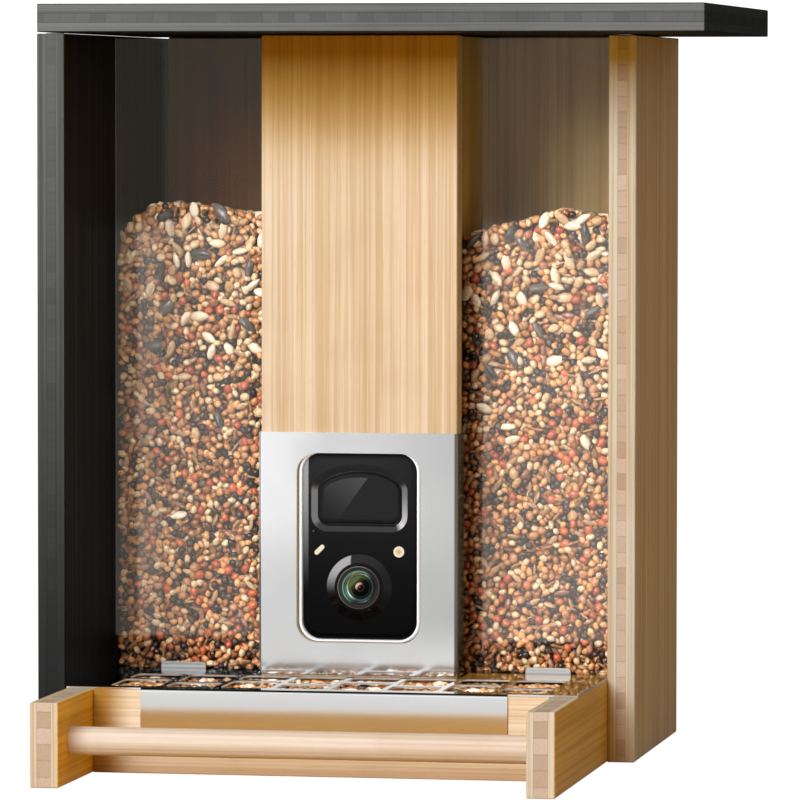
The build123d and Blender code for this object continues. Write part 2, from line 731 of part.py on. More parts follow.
def roof_board():
    """Roof, flush with the left side and the rear, and past the right side."""
    blank = board((0, ROOF_WIDTH), (0, BODY_DEPTH), (ROOF_UNDERSIDE, ROOF_UNDERSIDE + BOARD))
    return blank - roof_magnets(MAGNET_FIT) - small_screws(hinge_screw_places(True), SCREW_FIT)


def camera_outline(inset, corner):
    """Camera's rounded outline, drawn in from its outside."""
    return RectangleRounded(CAMERA_WIDTH - 2 * inset, CAMERA_HEIGHT - 2 * inset, corner)


def sensor_outline(grow=0):
    """Window of the motion sensor: straight sides, rounded foot and an arched top."""
    base = SENSOR_TOP + SENSOR_ARCH + SENSOR_SIDE
    width = SENSOR_WIDTH + 2 * grow
    foot = Pos(0, FACE_HEIGHT / 2 - base + (SENSOR_SIDE - grow) / 2) * Rectangle(width, SENSOR_SIDE + grow)
    foot = fillet(foot.vertices().group_by(Axis.Y)[0], SENSOR_CORNER + grow)
    arch = Pos(0, FACE_HEIGHT / 2 - SENSOR_TOP - SENSOR_ARCH) * Ellipse(width / 2, SENSOR_ARCH + grow)
    return foot + arch


def sunk_surround():
    """Sunk surround of the sensor window, with walls that slope in to a narrow floor."""
    mouth = sensor_outline(RECESS_MARGIN)
    middle = (COLUMN_MIDDLE, FACE_FRONT, WINDOW_MIDDLE)
    front = Plane(middle, x_dir=(1, 0, 0), z_dir=(0, -1, 0))
    funnel = loft([front * mouth, front.offset(-RECESS_DEPTH) * sensor_outline(RECESS_FLOOR)])
    return funnel + front_shape(mouth, FACE_FRONT - OVERRUN, FACE_FRONT)


def light_outline(grow=0):
    """Slanting status light to the left above the lens."""
    middle = Pos(-LIGHT_OFFSET, FACE_HEIGHT / 2 - LIGHT_DROP) * Rot(0, 0, LIGHT_TILT)
    return middle * SlotOverall(LIGHT_LENGTH + 2 * grow, LIGHT_WIDTH + 2 * grow)


def lens_axis(front):
    """Start of the lens's axis at a place from front to back."""
    return (COLUMN_MIDDLE, front, FACE_TOP - LENS_DROP)


def lamp_axis(front):
    """Start of the round lamp's axis."""
    return (COLUMN_MIDDLE + LAMP_OFFSET, front, FACE_TOP - LAMP_DROP)


def case_post_places():
    """Corner posts, from their free ends back to the cover."""
    x = CAMERA_WIDTH / 2 - CASE_POST_INSET
    z = CAMERA_HEIGHT / 2 - CASE_POST_INSET
    return [(COLUMN_MIDDLE + i * x, WINDOW_MIDDLE + k * z) for i in (-1, 1) for k in (-1, 1)]


def case_screws(spare=0):
    """Screws of the camera's rear cover."""
    return [
        screw((x, CAMERA_BACK, z), (0, -1, 0), CASE_HEAD, CASE_SHANK, CASE_LENGTH, spare)
        for x, z in case_post_places()
    ]


def camera_housing():
    """Moulded shell: rim, front web with its openings, walls and the corner posts."""
    shell = front_shape(camera_outline(0, CAMERA_CORNER), CAMERA_FRONT, SHELL_BACK)
    shell = chamfer(shell.faces().sort_by(Axis.Y)[0].outer_wire().edges(), CAMERA_RIM_EASE)
    pocket = RectangleRounded(FACE_WIDTH + 2 * FACE_FIT, FACE_HEIGHT + 2 * FACE_FIT, FACE_CORNER)
    shell -= front_shape(pocket, CAMERA_FRONT - OVERRUN, FACE_BACK + SEAT_FIT)
    room = camera_outline(CAMERA_WALL, CAMERA_CORNER - CAMERA_WALL)
    shell -= front_shape(room, WEB_BACK, SHELL_BACK + OVERRUN)
    for x, z in case_post_places():
        shell += rod((x, SHELL_BACK - CASE_POST_LENGTH, z), (0, 1, 0), CASE_POST, CASE_POST_LENGTH)
        shell += post_gusset(x, z)
    boss = (COLUMN_MIDDLE, sum(cradle_span()) / 2, CAMERA_UNDER + CAMERA_WALL / 2)
    shell += rod(boss, (0, 0, 1), CLAMP_RADIUS + CAMERA_WALL, CLAMP_REACH + CAMERA_WALL / 2)
    shell -= case_screws(SCREW_FIT)
    shell -= rod(lens_axis(FACE_FRONT), (0, 1, 0), BARREL_RADIUS + SEAT_FIT, CAMERA_DEPTH / 2)
    shell -= rod(lamp_axis(FACE_FRONT), (0, 1, 0), LAMP_RADIUS + SEAT_FIT, CAMERA_DEPTH / 2)
    shell -= front_shape(light_outline(SEAT_FIT), FACE_FRONT, WEB_BACK + SEAT_FIT)
    shell -= rod(sensor_axis(FACE_FRONT), (0, 1, 0), MOTION_RADIUS + SEAT_FIT, CAMERA_DEPTH / 2)
    return shell - clamp_stem(SCREW_FIT)


def post_gusset(x, z):
    """Rib from a corner post to the side wall."""
    way = 1 if x > COLUMN_MIDDLE else -1
    wall = COLUMN_MIDDLE + way * (CAMERA_WIDTH / 2 - CAMERA_WALL / 2)
    half = CAMERA_WALL / 2
    return block(sorted((x, wall)), (SHELL_BACK - CASE_POST_LENGTH, SHELL_BACK), (z - half, z + half))


def camera_face():
    """Gloss panel: soft edges, the sunk sensor surround and the swelling round the lens."""
    panel = front_shape(RectangleRounded(FACE_WIDTH, FACE_HEIGHT, FACE_CORNER), FACE_FRONT, FACE_BACK)
    panel = fillet(panel.faces().sort_by(Axis.Y)[0].outer_wire().edges(), FACE_ROUND)
    swell = Plane(lens_axis(FACE_FRONT), z_dir=(0, -1, 0)) * Cone(
        SWELL_RADIUS, BEZEL_RADIUS, SWELL_HEIGHT, align=(Align.CENTER, Align.CENTER, Align.MIN)
    )
    panel += swell
    panel -= sunk_surround()
    panel -= front_shape(sensor_outline(SEAT_FIT), FACE_FRONT, FACE_BACK + OVERRUN)
    through = 2 * OVERRUN + FACE_THICK
    panel -= rod(lens_axis(FACE_FRONT - OVERRUN), (0, 1, 0), BEZEL_RADIUS + SEAT_FIT, through)
    panel -= rod(lamp_axis(FACE_FRONT - OVERRUN), (0, 1, 0), LAMP_RADIUS + SEAT_FIT, through)
    panel -= front_shape(light_outline(SEAT_FIT), FACE_FRONT - OVERRUN, FACE_BACK + OVERRUN)
    mic = (COLUMN_MIDDLE - MIC_OFFSET, FACE_FRONT - OVERRUN, FACE_TOP - MIC_DROP)
    return panel - rod(mic, (0, 1, 0), MIC_RADIUS, through)


def sensor_window():
    """Bulging window in front of the motion sensor."""
    front = FACE_BACK - SENSOR_BULGE
    dome = front_shape(sensor_outline(), front, FACE_BACK)
    return fillet(dome.faces().sort_by(Axis.Y)[0].outer_wire().edges(), SENSOR_ROUND)


def sensor_axis(front):
    """Start of the motion sensor's axis."""
    return (COLUMN_MIDDLE, front, FACE_TOP - SENSOR_TOP - SENSOR_ARCH - SENSOR_SIDE / 2)


def motion_sensor():
    """Can of the motion sensor, on the main board's side of the web."""
    return rod(sensor_axis(FACE_BACK + SEAT_FIT), (0, 1, 0), MOTION_RADIUS, MOTION_LENGTH)


def lens_bezel():
    """Turned ring round the lens, with a dished front."""
    front = FACE_FRONT - SWELL_HEIGHT - BEZEL_PROUD
    outline = [
        (BEZEL_BORE, front + BEZEL_DISH),
        (BEZEL_STEP, front),
        (BEZEL_RADIUS, front + BEZEL_DISH / 2),
        (BEZEL_RADIUS, FACE_BACK),
        (BEZEL_BORE, FACE_BACK),
    ]
    return turned(outline)


def turned(outline):
    """Solid turned about the lens's axis from (radius, depth) points."""
    plane = Plane(lens_axis(0), x_dir=(1, 0, 0), z_dir=(0, 0, 1))
    return revolve(plane * make_face(Polyline(*outline, close=True)), Axis(lens_axis(0), (0, 1, 0)))


def lens_barrel():
    """Tube that carries the glass, seated in the web."""
    front = FACE_FRONT
    shoulder = front + BARREL_LENGTH / 5
    outline = [
        (GLASS_RADIUS + SEAT_FIT, front),
        (BARREL_RADIUS, front),
        (BARREL_RADIUS, front + BARREL_LENGTH),
        (BARREL_BORE, front + BARREL_LENGTH),
        (BARREL_BORE, shoulder),
        (GLASS_RADIUS + SEAT_FIT, shoulder),
    ]
    return turned(outline)


def lens_glass():
    """Front element, flat behind and crowned in front."""
    back = FACE_FRONT + BARREL_LENGTH / 5 - SEAT_FIT
    rim = back - GLASS_EDGE
    arc = ThreePointArc((-GLASS_RADIUS, rim), (0, rim - GLASS_CROWN), (GLASS_RADIUS, rim))
    half = make_face([
        ThreePointArc((0, rim - GLASS_CROWN), arc @ (3 / 4), (GLASS_RADIUS, rim)),
        Line((GLASS_RADIUS, rim), (GLASS_RADIUS, back)),
        Line((GLASS_RADIUS, back), (0, back)),
        Line((0, back), (0, rim - GLASS_CROWN)),
    ])
    plane = Plane(lens_axis(0), x_dir=(1, 0, 0), z_dir=(0, 0, 1))
    return revolve(plane * half, Axis(lens_axis(0), (0, 1, 0)))


def image_sensor_board():
    """Small square board behind the lens barrel."""
    front = FACE_FRONT + BARREL_LENGTH + SEAT_FIT
    x, _, z = lens_axis(0)
    half = SENSOR_PCB_WIDTH / 2
    return block((x - half, x + half), (front, front + PCB), (z - half, z + half))


def light_cover():
    """Round cover of the lamp."""
    return rod(lamp_axis(FACE_FRONT + SEAT_FIT), (0, 1, 0), LAMP_RADIUS, LIGHT_PIPE)


def status_light():
    """Slanting light pipe."""
    front = FACE_FRONT + SEAT_FIT
    return front_shape(light_outline(), front, front + LIGHT_PIPE)


def main_board():
    """Main board across the camera, behind the lens and in front of the cells, with two chips."""
    front = FACE_FRONT + BARREL_LENGTH + SEAT_FIT + MAIN_PCB_GAP
    half = MAIN_PCB_WIDTH / 2
    top = CAMERA_TOP - CAMERA_WALL - CASE_POST_INSET
    board_z = (top - MAIN_PCB_HEIGHT, top)
    pcb = block((COLUMN_MIDDLE - half, COLUMN_MIDDLE + half), (front, front + PCB), board_z)
    chip = block((-CHIP / 2, CHIP / 2), (-CHIP_RISE, 0), (-CHIP / 2, CHIP / 2))
    for side in (-1, 1):
        pcb += Pos(COLUMN_MIDDLE + side * CHIP, front, top - CHIP) * chip
    return pcb


def battery_cells():
    """Two cells side by side against the rear cover."""
    depth = SHELL_BACK - CELL_RADIUS - CELL_GAP
    bottom = WINDOW_MIDDLE - CELL_LENGTH / 2
    return [
        rod((COLUMN_MIDDLE + side * CELL_SPREAD / 2, depth, bottom), (0, 0, 1), CELL_RADIUS, CELL_LENGTH)
        for side in (-1, 1)
    ]


def speaker():
    """Round speaker on the web, beside the lens's foot."""
    x = COLUMN_MIDDLE
    start = (x, WEB_BACK, CAMERA_UNDER + CAMERA_WALL + SPEAKER_RADIUS + SEAT_FIT)
    return rod(start, (0, 1, 0), SPEAKER_RADIUS, SPEAKER_DEPTH)


def case_gasket():
    """Seal between the shell and the rear cover."""
    ring = camera_outline(CAMERA_WALL - GASKET_WIDTH, CAMERA_CORNER - CAMERA_WALL + GASKET_WIDTH)
    ring -= camera_outline(CAMERA_WALL, CAMERA_CORNER - CAMERA_WALL)
    return front_shape(ring, SHELL_BACK, SHELL_BACK + GASKET)


def button_axis(front):
    """Start of the power button's axis."""
    return (COLUMN_MIDDLE, front, CAMERA_TOP - BUTTON_DROP)


def port_outline(grow=0):
    """Rounded mouth of the charging port."""
    drop = CAMERA_HEIGHT / 2 - PORT_DROP
    return Pos(0, drop) * RectangleRounded(PORT_WIDTH + 2 * grow, PORT_HEIGHT + 2 * grow, PORT_CORNER + grow)


def camera_back():
    """Rear cover with its button hole, port and screw holes."""
    front = CAMERA_BACK - BACK_THICK
    cover = front_shape(camera_outline(0, CAMERA_CORNER), front, CAMERA_BACK)
    cover = fillet(cover.faces().sort_by(Axis.Y)[-1].outer_wire().edges(), CAMERA_REAR_ROUND)
    cover -= case_screws(SCREW_FIT)
    hole = BUTTON_RADIUS + BUTTON_PLAY
    cover -= rod(button_axis(front - OVERRUN), (0, 1, 0), hole, BACK_THICK + 2 * OVERRUN)
    well = front_shape(port_outline(SEAT_FIT), CAMERA_BACK - PORT_COVER, CAMERA_BACK + OVERRUN)
    mouth = front_shape(port_outline(-PORT_CORNER / 2), front - OVERRUN, CAMERA_BACK)
    return cover - well - mouth


def port_cover():
    """Rubber plug flush with the rear cover."""
    return front_shape(port_outline(), CAMERA_BACK - PORT_COVER + SEAT_FIT, CAMERA_BACK)


def charging_socket():
    """Metal socket behind the port."""
    back = CAMERA_BACK - BACK_THICK
    middle = Pos(0, CAMERA_HEIGHT / 2 - PORT_DROP)
    shell = middle * SlotOverall(SOCKET_WIDTH, SOCKET_HEIGHT)
    return front_shape(shell, back - SOCKET_DEPTH, back - SEAT_FIT)


def power_button():
    """Button with a flange that keeps it behind the rear cover."""
    back = CAMERA_BACK - BACK_THICK
    length = PCB + BACK_THICK + BUTTON_TRAVEL + BUTTON_STAY
    button = rod(button_axis(back - PCB), (0, 1, 0), BUTTON_RADIUS, length)
    return button + rod(button_axis(back - SEAT_FIT - PCB), (0, 1, 0), BUTTON_FLANGE, PCB)


def cradle_sides():
    """Outer faces of the cradle's flanges."""
    half = COLUMN_INSIDE / 2 - CRADLE_FIT
    return (COLUMN_MIDDLE - half, COLUMN_MIDDLE + half)


def cradle_span():
    """Front and rear edges of the cradle, close behind the column's front board."""
    front = COLUMN_BACK + CRADLE_GAP
    return (front, front + CRADLE_DEPTH)


def camera_cradle():
    """Sheet shelf under the camera, with a flange down each side for its screws."""
    top = CAMERA_UNDER - SEAT_FIT
    low, high = cradle_sides()
    span = cradle_span()
    outer = block((low, high), span, (top - CRADLE_FLANGE, top))
    inner = block(
        (low + CRADLE_SHEET, high - CRADLE_SHEET),
        (span[0] - OVERRUN, span[1] + OVERRUN),
        (top - CRADLE_FLANGE - OVERRUN, top - CRADLE_SHEET),
    )
    outer = fillet(outer.edges().filter_by(Axis.Y).group_by(Axis.Z)[-1], CRADLE_FOLD)
    inner = fillet(inner.edges().filter_by(Axis.Y).group_by(Axis.Z)[-1], CRADLE_FOLD - CRADLE_SHEET)
    return outer - inner - screws_of_cradle(SCREW_FIT) - clamp_stem(SCREW_FIT)


def screws_of_cradle(spare=0):
    """Screws through the cradle's flanges into the partitions."""
    low, high = cradle_sides()
    height = CAMERA_UNDER - SEAT_FIT - CRADLE_FLANGE * 2 / 3
    places = []
    for x, way in ((low + CRADLE_SHEET, -1), (high - CRADLE_SHEET, 1)):
        for share in (1 / 4, 3 / 4):
            front, back = cradle_span()
            places.append(((x, front + (back - front) * share, height), (way, 0, 0)))
    return small_screws(place(places), spare)


def clamp_stem(spare=0):
    """Stem of the clamp, up through the cradle into the camera."""
    start = (COLUMN_MIDDLE, sum(cradle_span()) / 2, CAMERA_UNDER - 2 * SEAT_FIT - CRADLE_SHEET)
    return rod(start, (0, 0, 1), CLAMP_RADIUS + spare, CRADLE_SHEET + CLAMP_REACH + spare)


def clamp_knob():
    """Lobed knob and stem that hold the camera down on its cradle."""
    middle = sum(cradle_span()) / 2
    top = CAMERA_UNDER - 2 * SEAT_FIT - CRADLE_SHEET
    head = Circle(KNOB_RADIUS)
    for scallop in PolarLocations(KNOB_RADIUS + KNOB_SCALLOP / 2, KNOB_LOBES):
        head -= scallop * Circle(KNOB_SCALLOP)
    knob = Pos(COLUMN_MIDDLE, middle, top - KNOB_HEIGHT) * extrude(head, KNOB_HEIGHT)
    return knob + clamp_stem()


def group(solids):
    """Loose solids that share one node."""
    return Compound(children=[solid for part in solids for solid in part.solids()])


NODES = {
    "left_side_board": side_board(True),
    "right_side_board": side_board(False),
    "back_board": back_board(),
    "column_front_board": column_front_board(),
    "left_partition": partition(True),
    "right_partition": partition(False),
    "tray_floor": tray_floor(),
    "tray_apron": tray_apron(),
    "left_perch_rail": perch_rail(True),
    "right_perch_rail": perch_rail(False),
    "perch_dowel": perch(),
    "left_seed_chute": seed_chute(True),
    "right_seed_chute": seed_chute(False),
    "camera_faceplate": camera_faceplate(),
    "left_hopper_window": pane_box(True),
    "right_hopper_window": pane_box(False),
    "carcass_dowels": group(dowels(carcass_dowel_places())),
    "column_dowels": group(dowels(column_dowel_places())),
    "tray_dowels": group(dowels(tray_dowel_places())),
    "back_screws": group(wood_screws(back_screw_places(), SCREW_LENGTH)),
    "rail_screws": group(wood_screws(rail_screw_places(), RAIL_SCREW_LENGTH)),
    "hinge_frame_leaves": group(hinge_leaves(False)),
    "hinge_pins": group(hinge_pins()),
    "hinge_frame_screws": group(small_screws(hinge_screw_places(False))),
    "frame_magnets": group(frame_magnets()),
    "pole_insert": pole_insert(),
    "service_cover": service_panel(SERVICE_FIT) - small_screws(service_screw_places(), SCREW_FIT),
    "service_cover_screws": group(small_screws(service_screw_places())),
    "camera_cradle": camera_cradle(),
    "cradle_screws": group(screws_of_cradle()),
    "clamp_knob": clamp_knob(),
    "camera_housing": camera_housing(),
    "camera_back": camera_back(),
    "case_gasket": case_gasket(),
    "case_screws": group(case_screws()),
    "camera_face": camera_face(),
    "sensor_window": sensor_window(),
    "motion_sensor": motion_sensor(),
    "lens_bezel": lens_bezel(),
    "lens_barrel": lens_barrel(),
    "lens_glass": lens_glass(),
    "light_cover": light_cover(),
    "status_light": status_light(),
    "image_sensor_board": image_sensor_board(),
    "main_board": main_board(),
    "battery_cells": group(battery_cells()),
    "speaker": speaker(),
    "charging_socket": charging_socket(),
    "port_cover": port_cover(),
    "power_button": power_button(),
    "seed_plate": seed_plate(),
    "roof_board": roof_board(),
    "hinge_roof_leaves": group(hinge_leaves(True)),
    "hinge_roof_screws": group(small_screws(hinge_screw_places(True))),
    "roof_magnets": group(roof_magnets()),
}

os.makedirs("parts", exist_ok=True)
for name, node in NODES.items():
    export_step(ORIGIN * node, f"parts/{name}.step")
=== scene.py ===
import math

import bmesh
import bpy
import numpy as np
from mathutils import Matrix, Vector


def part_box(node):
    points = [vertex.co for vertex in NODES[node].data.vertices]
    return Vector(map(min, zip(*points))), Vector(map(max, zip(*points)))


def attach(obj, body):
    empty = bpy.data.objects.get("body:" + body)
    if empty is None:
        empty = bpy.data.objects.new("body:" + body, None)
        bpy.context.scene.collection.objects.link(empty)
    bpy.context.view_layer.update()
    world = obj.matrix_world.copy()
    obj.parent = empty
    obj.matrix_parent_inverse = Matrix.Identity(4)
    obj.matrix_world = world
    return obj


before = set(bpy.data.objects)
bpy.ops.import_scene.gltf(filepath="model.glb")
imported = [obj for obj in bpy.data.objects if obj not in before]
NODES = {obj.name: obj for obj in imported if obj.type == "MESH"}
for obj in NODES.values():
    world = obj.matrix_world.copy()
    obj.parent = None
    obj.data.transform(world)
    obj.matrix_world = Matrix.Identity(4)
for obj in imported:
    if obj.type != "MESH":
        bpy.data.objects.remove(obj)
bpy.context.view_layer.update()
MM = 0.001

# Camera: where it stands, which way it looks, and its lens
CAMERA_PLACE = (0.509486, -2.763854, 0.301624)
CAMERA_TURN = 10.4512
CAMERA_DIP = 2.7678
CAMERA_ROLL = 0.0546
CAMERA_LENS = 275.17
CAMERA_SENSOR = 36.0

# Key light: how far its rays run right and down for each step to the rear
KEY_RIGHT = 0.27
KEY_DOWN = 0.46
KEY_DISTANCE = 2.6
KEY_SIDE = 1.25
KEY_POWER = 64
KEY_TINT = (1.0, 1.13, 1.48)
AMBIENT = (0.45, 0.185, 0.0)
AMBIENT_RIGHT = (0.34, 0.235, 0.10)
AMBIENT_REAR = (0.95, 0.98, 1.05)
SPARKLE_SIDE = 0.5
SPARKLE_POWER = 50
FLOOR_FRONT = -6.0
FLOOR_BACK = 30.0
FLOOR_SIDE = 16.0
FLOOR_GLOW = 1.12
FLOOR_TONE = (0.62, 0.37, 0.03)
FLOOR_SHARE = 0.9
REAR_GLOW = 0.05
SIDE_GLOW = 1.2

TAB_RISE = 3.0
PLATE_POLISH = (0.76, 0.76, 0.75)
PLATE_WIPED = (0.62, 0.62, 0.60)
# Colour of the painted brown reflection on the plate's right part
PLATE_PAINTED_REFLECTION = (0.12, 0.052, 0.008)
# Strength of the painted glow that the perch shows in reflections only
PERCH_PAINTED_GLOW = 0.29

# Cards that only polished surfaces see: name, place, what it faces, size, glow at its top, lean in degrees
GLOSS_CARDS = (
    ("window_card", (-0.227, -0.988, 0.083), (-0.0244, -0.0085, 0.1222), (0.06, 0.09), 11.0, -36.0),
)

# Grain sizes in millimetres: half length, half width, half depth
MILLET = (2.05, 1.55, 1.4)
MILO = (2.35, 2.0, 1.8)
DARK_SEED = (1.8, 1.6, 1.45)
KERNEL = (4.6, 2.5, 1.6)
SUNFLOWER = (6.0, 2.9, 1.9)
CORN = (2.8, 2.2, 1.7)
HUSK = (3.1, 1.3, 0.6)


# Small helpers for shader trees


def put(tree, kind, settings=(), **inputs):
    """One shader node; an input is a value or another node's socket."""
    made = tree.nodes.new(kind)
    for key, value in dict(settings).items():
        setattr(made, key, value)
    drive(tree, made, **inputs)
    return made


def drive(tree, node, **inputs):
    """Links or sets a node's inputs."""
    for key, value in inputs.items():
        feed(tree, node.inputs[key.replace("_", " ")], value)


def feed(tree, socket, value):
    """Links a socket, or sets its value; a colour is opaque."""
    if isinstance(value, bpy.types.NodeSocket):
        tree.links.new(value, socket)
    elif socket.type == "RGBA":
        socket.default_value = (*value[:3], 1)
    else:
        socket.default_value = value


def calc(tree, operation, first, second=0.0):
    """Math node's result."""
    made = put(tree, "ShaderNodeMath", {"operation": operation})
    feed(tree, made.inputs[0], first)
    feed(tree, made.inputs[1], second)
    return made.outputs[0]


def times(tree, first, second):
    """Product."""
    return calc(tree, "MULTIPLY", first, second)


def plus(tree, first, second):
    """Sum."""
    return calc(tree, "ADD", first, second)


def minus(tree, first, second):
    """Difference."""
    return calc(tree, "SUBTRACT", first, second)


def remap(tree, value, low, high, to_low=0.0, to_high=1.0):
    """Value stretched from one range to another, clamped and eased."""
    made = put(tree, "ShaderNodeMapRange", {"interpolation_type": "SMOOTHSTEP"}, Value=value,
               From_Min=low, From_Max=high, To_Min=to_low, To_Max=to_high)
    return made.outputs["Result"]


def blend_colour(tree, factor, first, second, mode="MIX"):
    """Mixed colour."""
    made = put(tree, "ShaderNodeMix", {"data_type": "RGBA", "blend_type": mode}, Factor=factor)
    feed(tree, made.inputs[6], first)
    feed(tree, made.inputs[7], second)
    return made.outputs[2]


def blend_value(tree, factor, first, second):
    """Mixed value."""
    made = put(tree, "ShaderNodeMix", {"data_type": "FLOAT"}, Factor=factor)
    feed(tree, made.inputs[2], first)
    feed(tree, made.inputs[3], second)
    return made.outputs[0]


def blend_shader(tree, factor, first, second):
    """Mixed shader."""
    made = put(tree, "ShaderNodeMixShader")
    for socket, value in zip(made.inputs, (factor, first, second)):
        feed(tree, socket, value)
    return made.outputs[0]


def white_glow(tree, strength):
    """White light of a strength."""
    return put(tree, "ShaderNodeEmission", Color=(1, 1, 1), Strength=strength).outputs[0]


def show(tree, shader):
    """Makes a shader the material's surface."""
    drive(tree, tree.nodes["Material Output"], Surface=shader)


def noise(tree, vector, scale, detail=3.0, rough=0.5):
    """Noise value at a scale."""
    return put(tree, "ShaderNodeTexNoise", Vector=vector, Scale=scale, Detail=detail, Roughness=rough).outputs["Fac"]


def parted(tree, vector):
    """Three values of a vector, under X, Y and Z."""
    return put(tree, "ShaderNodeSeparateXYZ", Vector=vector).outputs


def joined(tree, x, y, z):
    """Vector from three values."""
    made = put(tree, "ShaderNodeCombineXYZ")
    for socket, value in zip(made.inputs, (x, y, z)):
        feed(tree, socket, value)
    return made.outputs[0]


def shader_group(name, inputs, outputs):
    """Group with named sockets, numbers or (where an input has none) vectors: tree, its inputs, its output node."""
    tree = bpy.data.node_groups.new(name, "ShaderNodeTree")
    for key, value in inputs.items():
        kind = "NodeSocketVector" if value is None else "NodeSocketFloat"
        socket = tree.interface.new_socket(key, in_out="INPUT", socket_type=kind)
        if value is not None:
            socket.default_value = value
    for key in outputs:
        tree.interface.new_socket(key, in_out="OUTPUT", socket_type="NodeSocketFloat")
    return tree, tree.nodes.new("NodeGroupInput").outputs, tree.nodes.new("NodeGroupOutput")


def place_group(tree, group, **inputs):
    """A group placed in a material."""
    return put(tree, "ShaderNodeGroup", {"node_tree": group}, **inputs).outputs


def new_material(name, **shader):
    """Material with a Principled shader whose plain values are set on its own sockets."""
    material = bpy.data.materials.new(name)
    material.use_nodes = True
    tree = material.node_tree
    surface = tree.nodes["Principled BSDF"]
    drive(tree, surface, **shader)
    return material, tree, surface


def bumped(tree, surface, height, distance, strength=1.0):
    """Bump from a height in millimetres."""
    made = put(tree, "ShaderNodeBump", Height=height, Distance=distance * MM, Strength=strength)
    drive(tree, surface, Normal=made.outputs["Normal"])


def millimetre_vector(tree):
    """The piece's own coordinates, in millimetres, as one vector."""
    spot = put(tree, "ShaderNodeTexCoord").outputs["Object"]
    return put(tree, "ShaderNodeVectorMath", {"operation": "SCALE"}, Vector=spot, Scale=1 / MM).outputs[0]


def object_millimetres(tree):
    """The piece's own coordinates, in millimetres, as three values."""
    return parted(tree, millimetre_vector(tree))


def face_direction(tree):
    """Way that the surface faces, in the piece's own axes, as three values."""
    return parted(tree, put(tree, "ShaderNodeTexCoord").outputs["Normal"])


def span(tree, across, above):
    """Length of a flat vector."""
    flat = joined(tree, across, above, 0.0)
    return put(tree, "ShaderNodeVectorMath", {"operation": "LENGTH"}, Vector=flat).outputs["Value"]


def grey(tree, level):
    """Grey of a level."""
    return joined(tree, level, level, level)


def in_mirror(tree):
    """Whether the surface is seen in a polished one."""
    return calc(tree, "GREATER_THAN", put(tree, "ShaderNodeLightPath").outputs["Glossy Depth"], 0.5)


# Bamboo


def fibre_group():
    """Bamboo fibre that runs along a board: a tone, thin dark lines, and the height of its pores."""
    tree, inside, out = shader_group(
        "bamboo_fibre", {"Along": 0.0, "Across": 0.0, "Through": 0.0}, ("Tone", "Streak", "Height")
    )
    along, across, through = (inside[key] for key in ("Along", "Across", "Through"))

    def drawn(length, width, detail=2.0, rough=0.5):
        spot = joined(tree, times(tree, along, length), times(tree, across, width), times(tree, through, width))
        return noise(tree, spot, 1.0, detail, rough)

    strips = drawn(0.002, 0.28, 1.0)
    lines = drawn(0.006, 1.1, 3.0, 0.6)
    fine = drawn(0.03, 4.2, 2.0, 0.6)
    pores = drawn(0.09, 2.4, 2.0, 0.6)
    tone = plus(tree, times(tree, strips, 0.42), times(tree, lines, 0.40))
    tone = plus(tree, tone, times(tree, fine, 0.18))
    thin = remap(tree, drawn(0.0015, 0.62, 0.0), 0.60, 0.68)
    drive(tree, out, Tone=tone, Height=plus(tree, times(tree, lines, 0.6), times(tree, fine, 0.4)),
          Streak=calc(tree, "MAXIMUM", remap(tree, pores, 0.62, 0.78), times(tree, thin, 0.5)))
    return tree


def block_group():
    """Middle ply seen from its end: short blocks with speckled vessels and dark joints."""
    tree, inside, out = shader_group(
        "ply_end_blocks", {"Run": 0.0, "Spot": None, "Block": 7.2}, ("Tone", "Speckle", "Joint")
    )
    wobble = times(tree, noise(tree, inside["Spot"], 0.2, 1.0), 0.9)
    run = calc(tree, "DIVIDE", plus(tree, inside["Run"], wobble), inside["Block"])
    number = calc(tree, "FLOOR", run)
    tone = put(tree, "ShaderNodeTexWhiteNoise", {"noise_dimensions": "1D"}, W=number).outputs["Value"]
    within = calc(tree, "FRACT", run)
    edge = calc(tree, "MINIMUM", within, minus(tree, 1.0, within))
    dots = put(tree, "ShaderNodeTexVoronoi", {"feature": "F1"}, Vector=inside["Spot"], Scale=1.5).outputs["Distance"]
    drive(tree, out, Tone=tone, Speckle=remap(tree, dots, 0.12, 0.34, 1.0, 0.0),
          Joint=remap(tree, edge, 0.015, 0.06, 1.0, 0.0))
    return tree


def wear_group():
    """Handling marks and dust: a mask that is strong in broken patches."""
    tree, inside, out = shader_group("weather_marks", {"Spot": None, "Size": 0.02}, ("Mask", "Fine"))
    broad = noise(tree, inside["Spot"], inside["Size"], 5.0, 0.6)
    drive(tree, out, Mask=remap(tree, broad, 0.45, 0.7),
          Fine=noise(tree, inside["Spot"], 0.9, 3.0, 0.6))
    return tree


FIBRE = fibre_group()
BLOCKS = block_group()
MARKS = wear_group()

NATURAL = {
    "light": (0.74, 0.565, 0.34), "dark": (0.58, 0.40, 0.20), "streak": (0.38, 0.18, 0.04),
    "edge": (0.63, 0.58, 0.41), "edge_dark": (0.47, 0.35, 0.16),
    "block": (0.45, 0.35, 0.22), "block_light": (0.60, 0.51, 0.36), "block_dark": (0.24, 0.14, 0.07),
    "rough": (0.42, 0.60), "streaks": 0.35, "plies": 1.0, "foot": 1.0, "gloss": 0.12,
}
# Black stain: its narrow faces, the boards' fronts, are far lighter than its wide faces, as painted light standing in
# for the sheen on the lit fronts; foot adds painted shade toward the bottom
BLACK = {
    "light": (0.024, 0.021, 0.015), "dark": (0.010, 0.008, 0.005), "streak": (0.008, 0.008, 0.008),
    "edge": (0.119, 0.134, 0.121), "edge_dark": (0.069, 0.078, 0.071),
    "block": (0.091, 0.103, 0.093), "block_light": (0.114, 0.128, 0.116), "block_dark": (0.064, 0.072, 0.065),
    "rough": (0.44, 0.58), "streaks": 0.75, "plies": 1.0, "foot": 0.14, "gloss": 0.12,
}
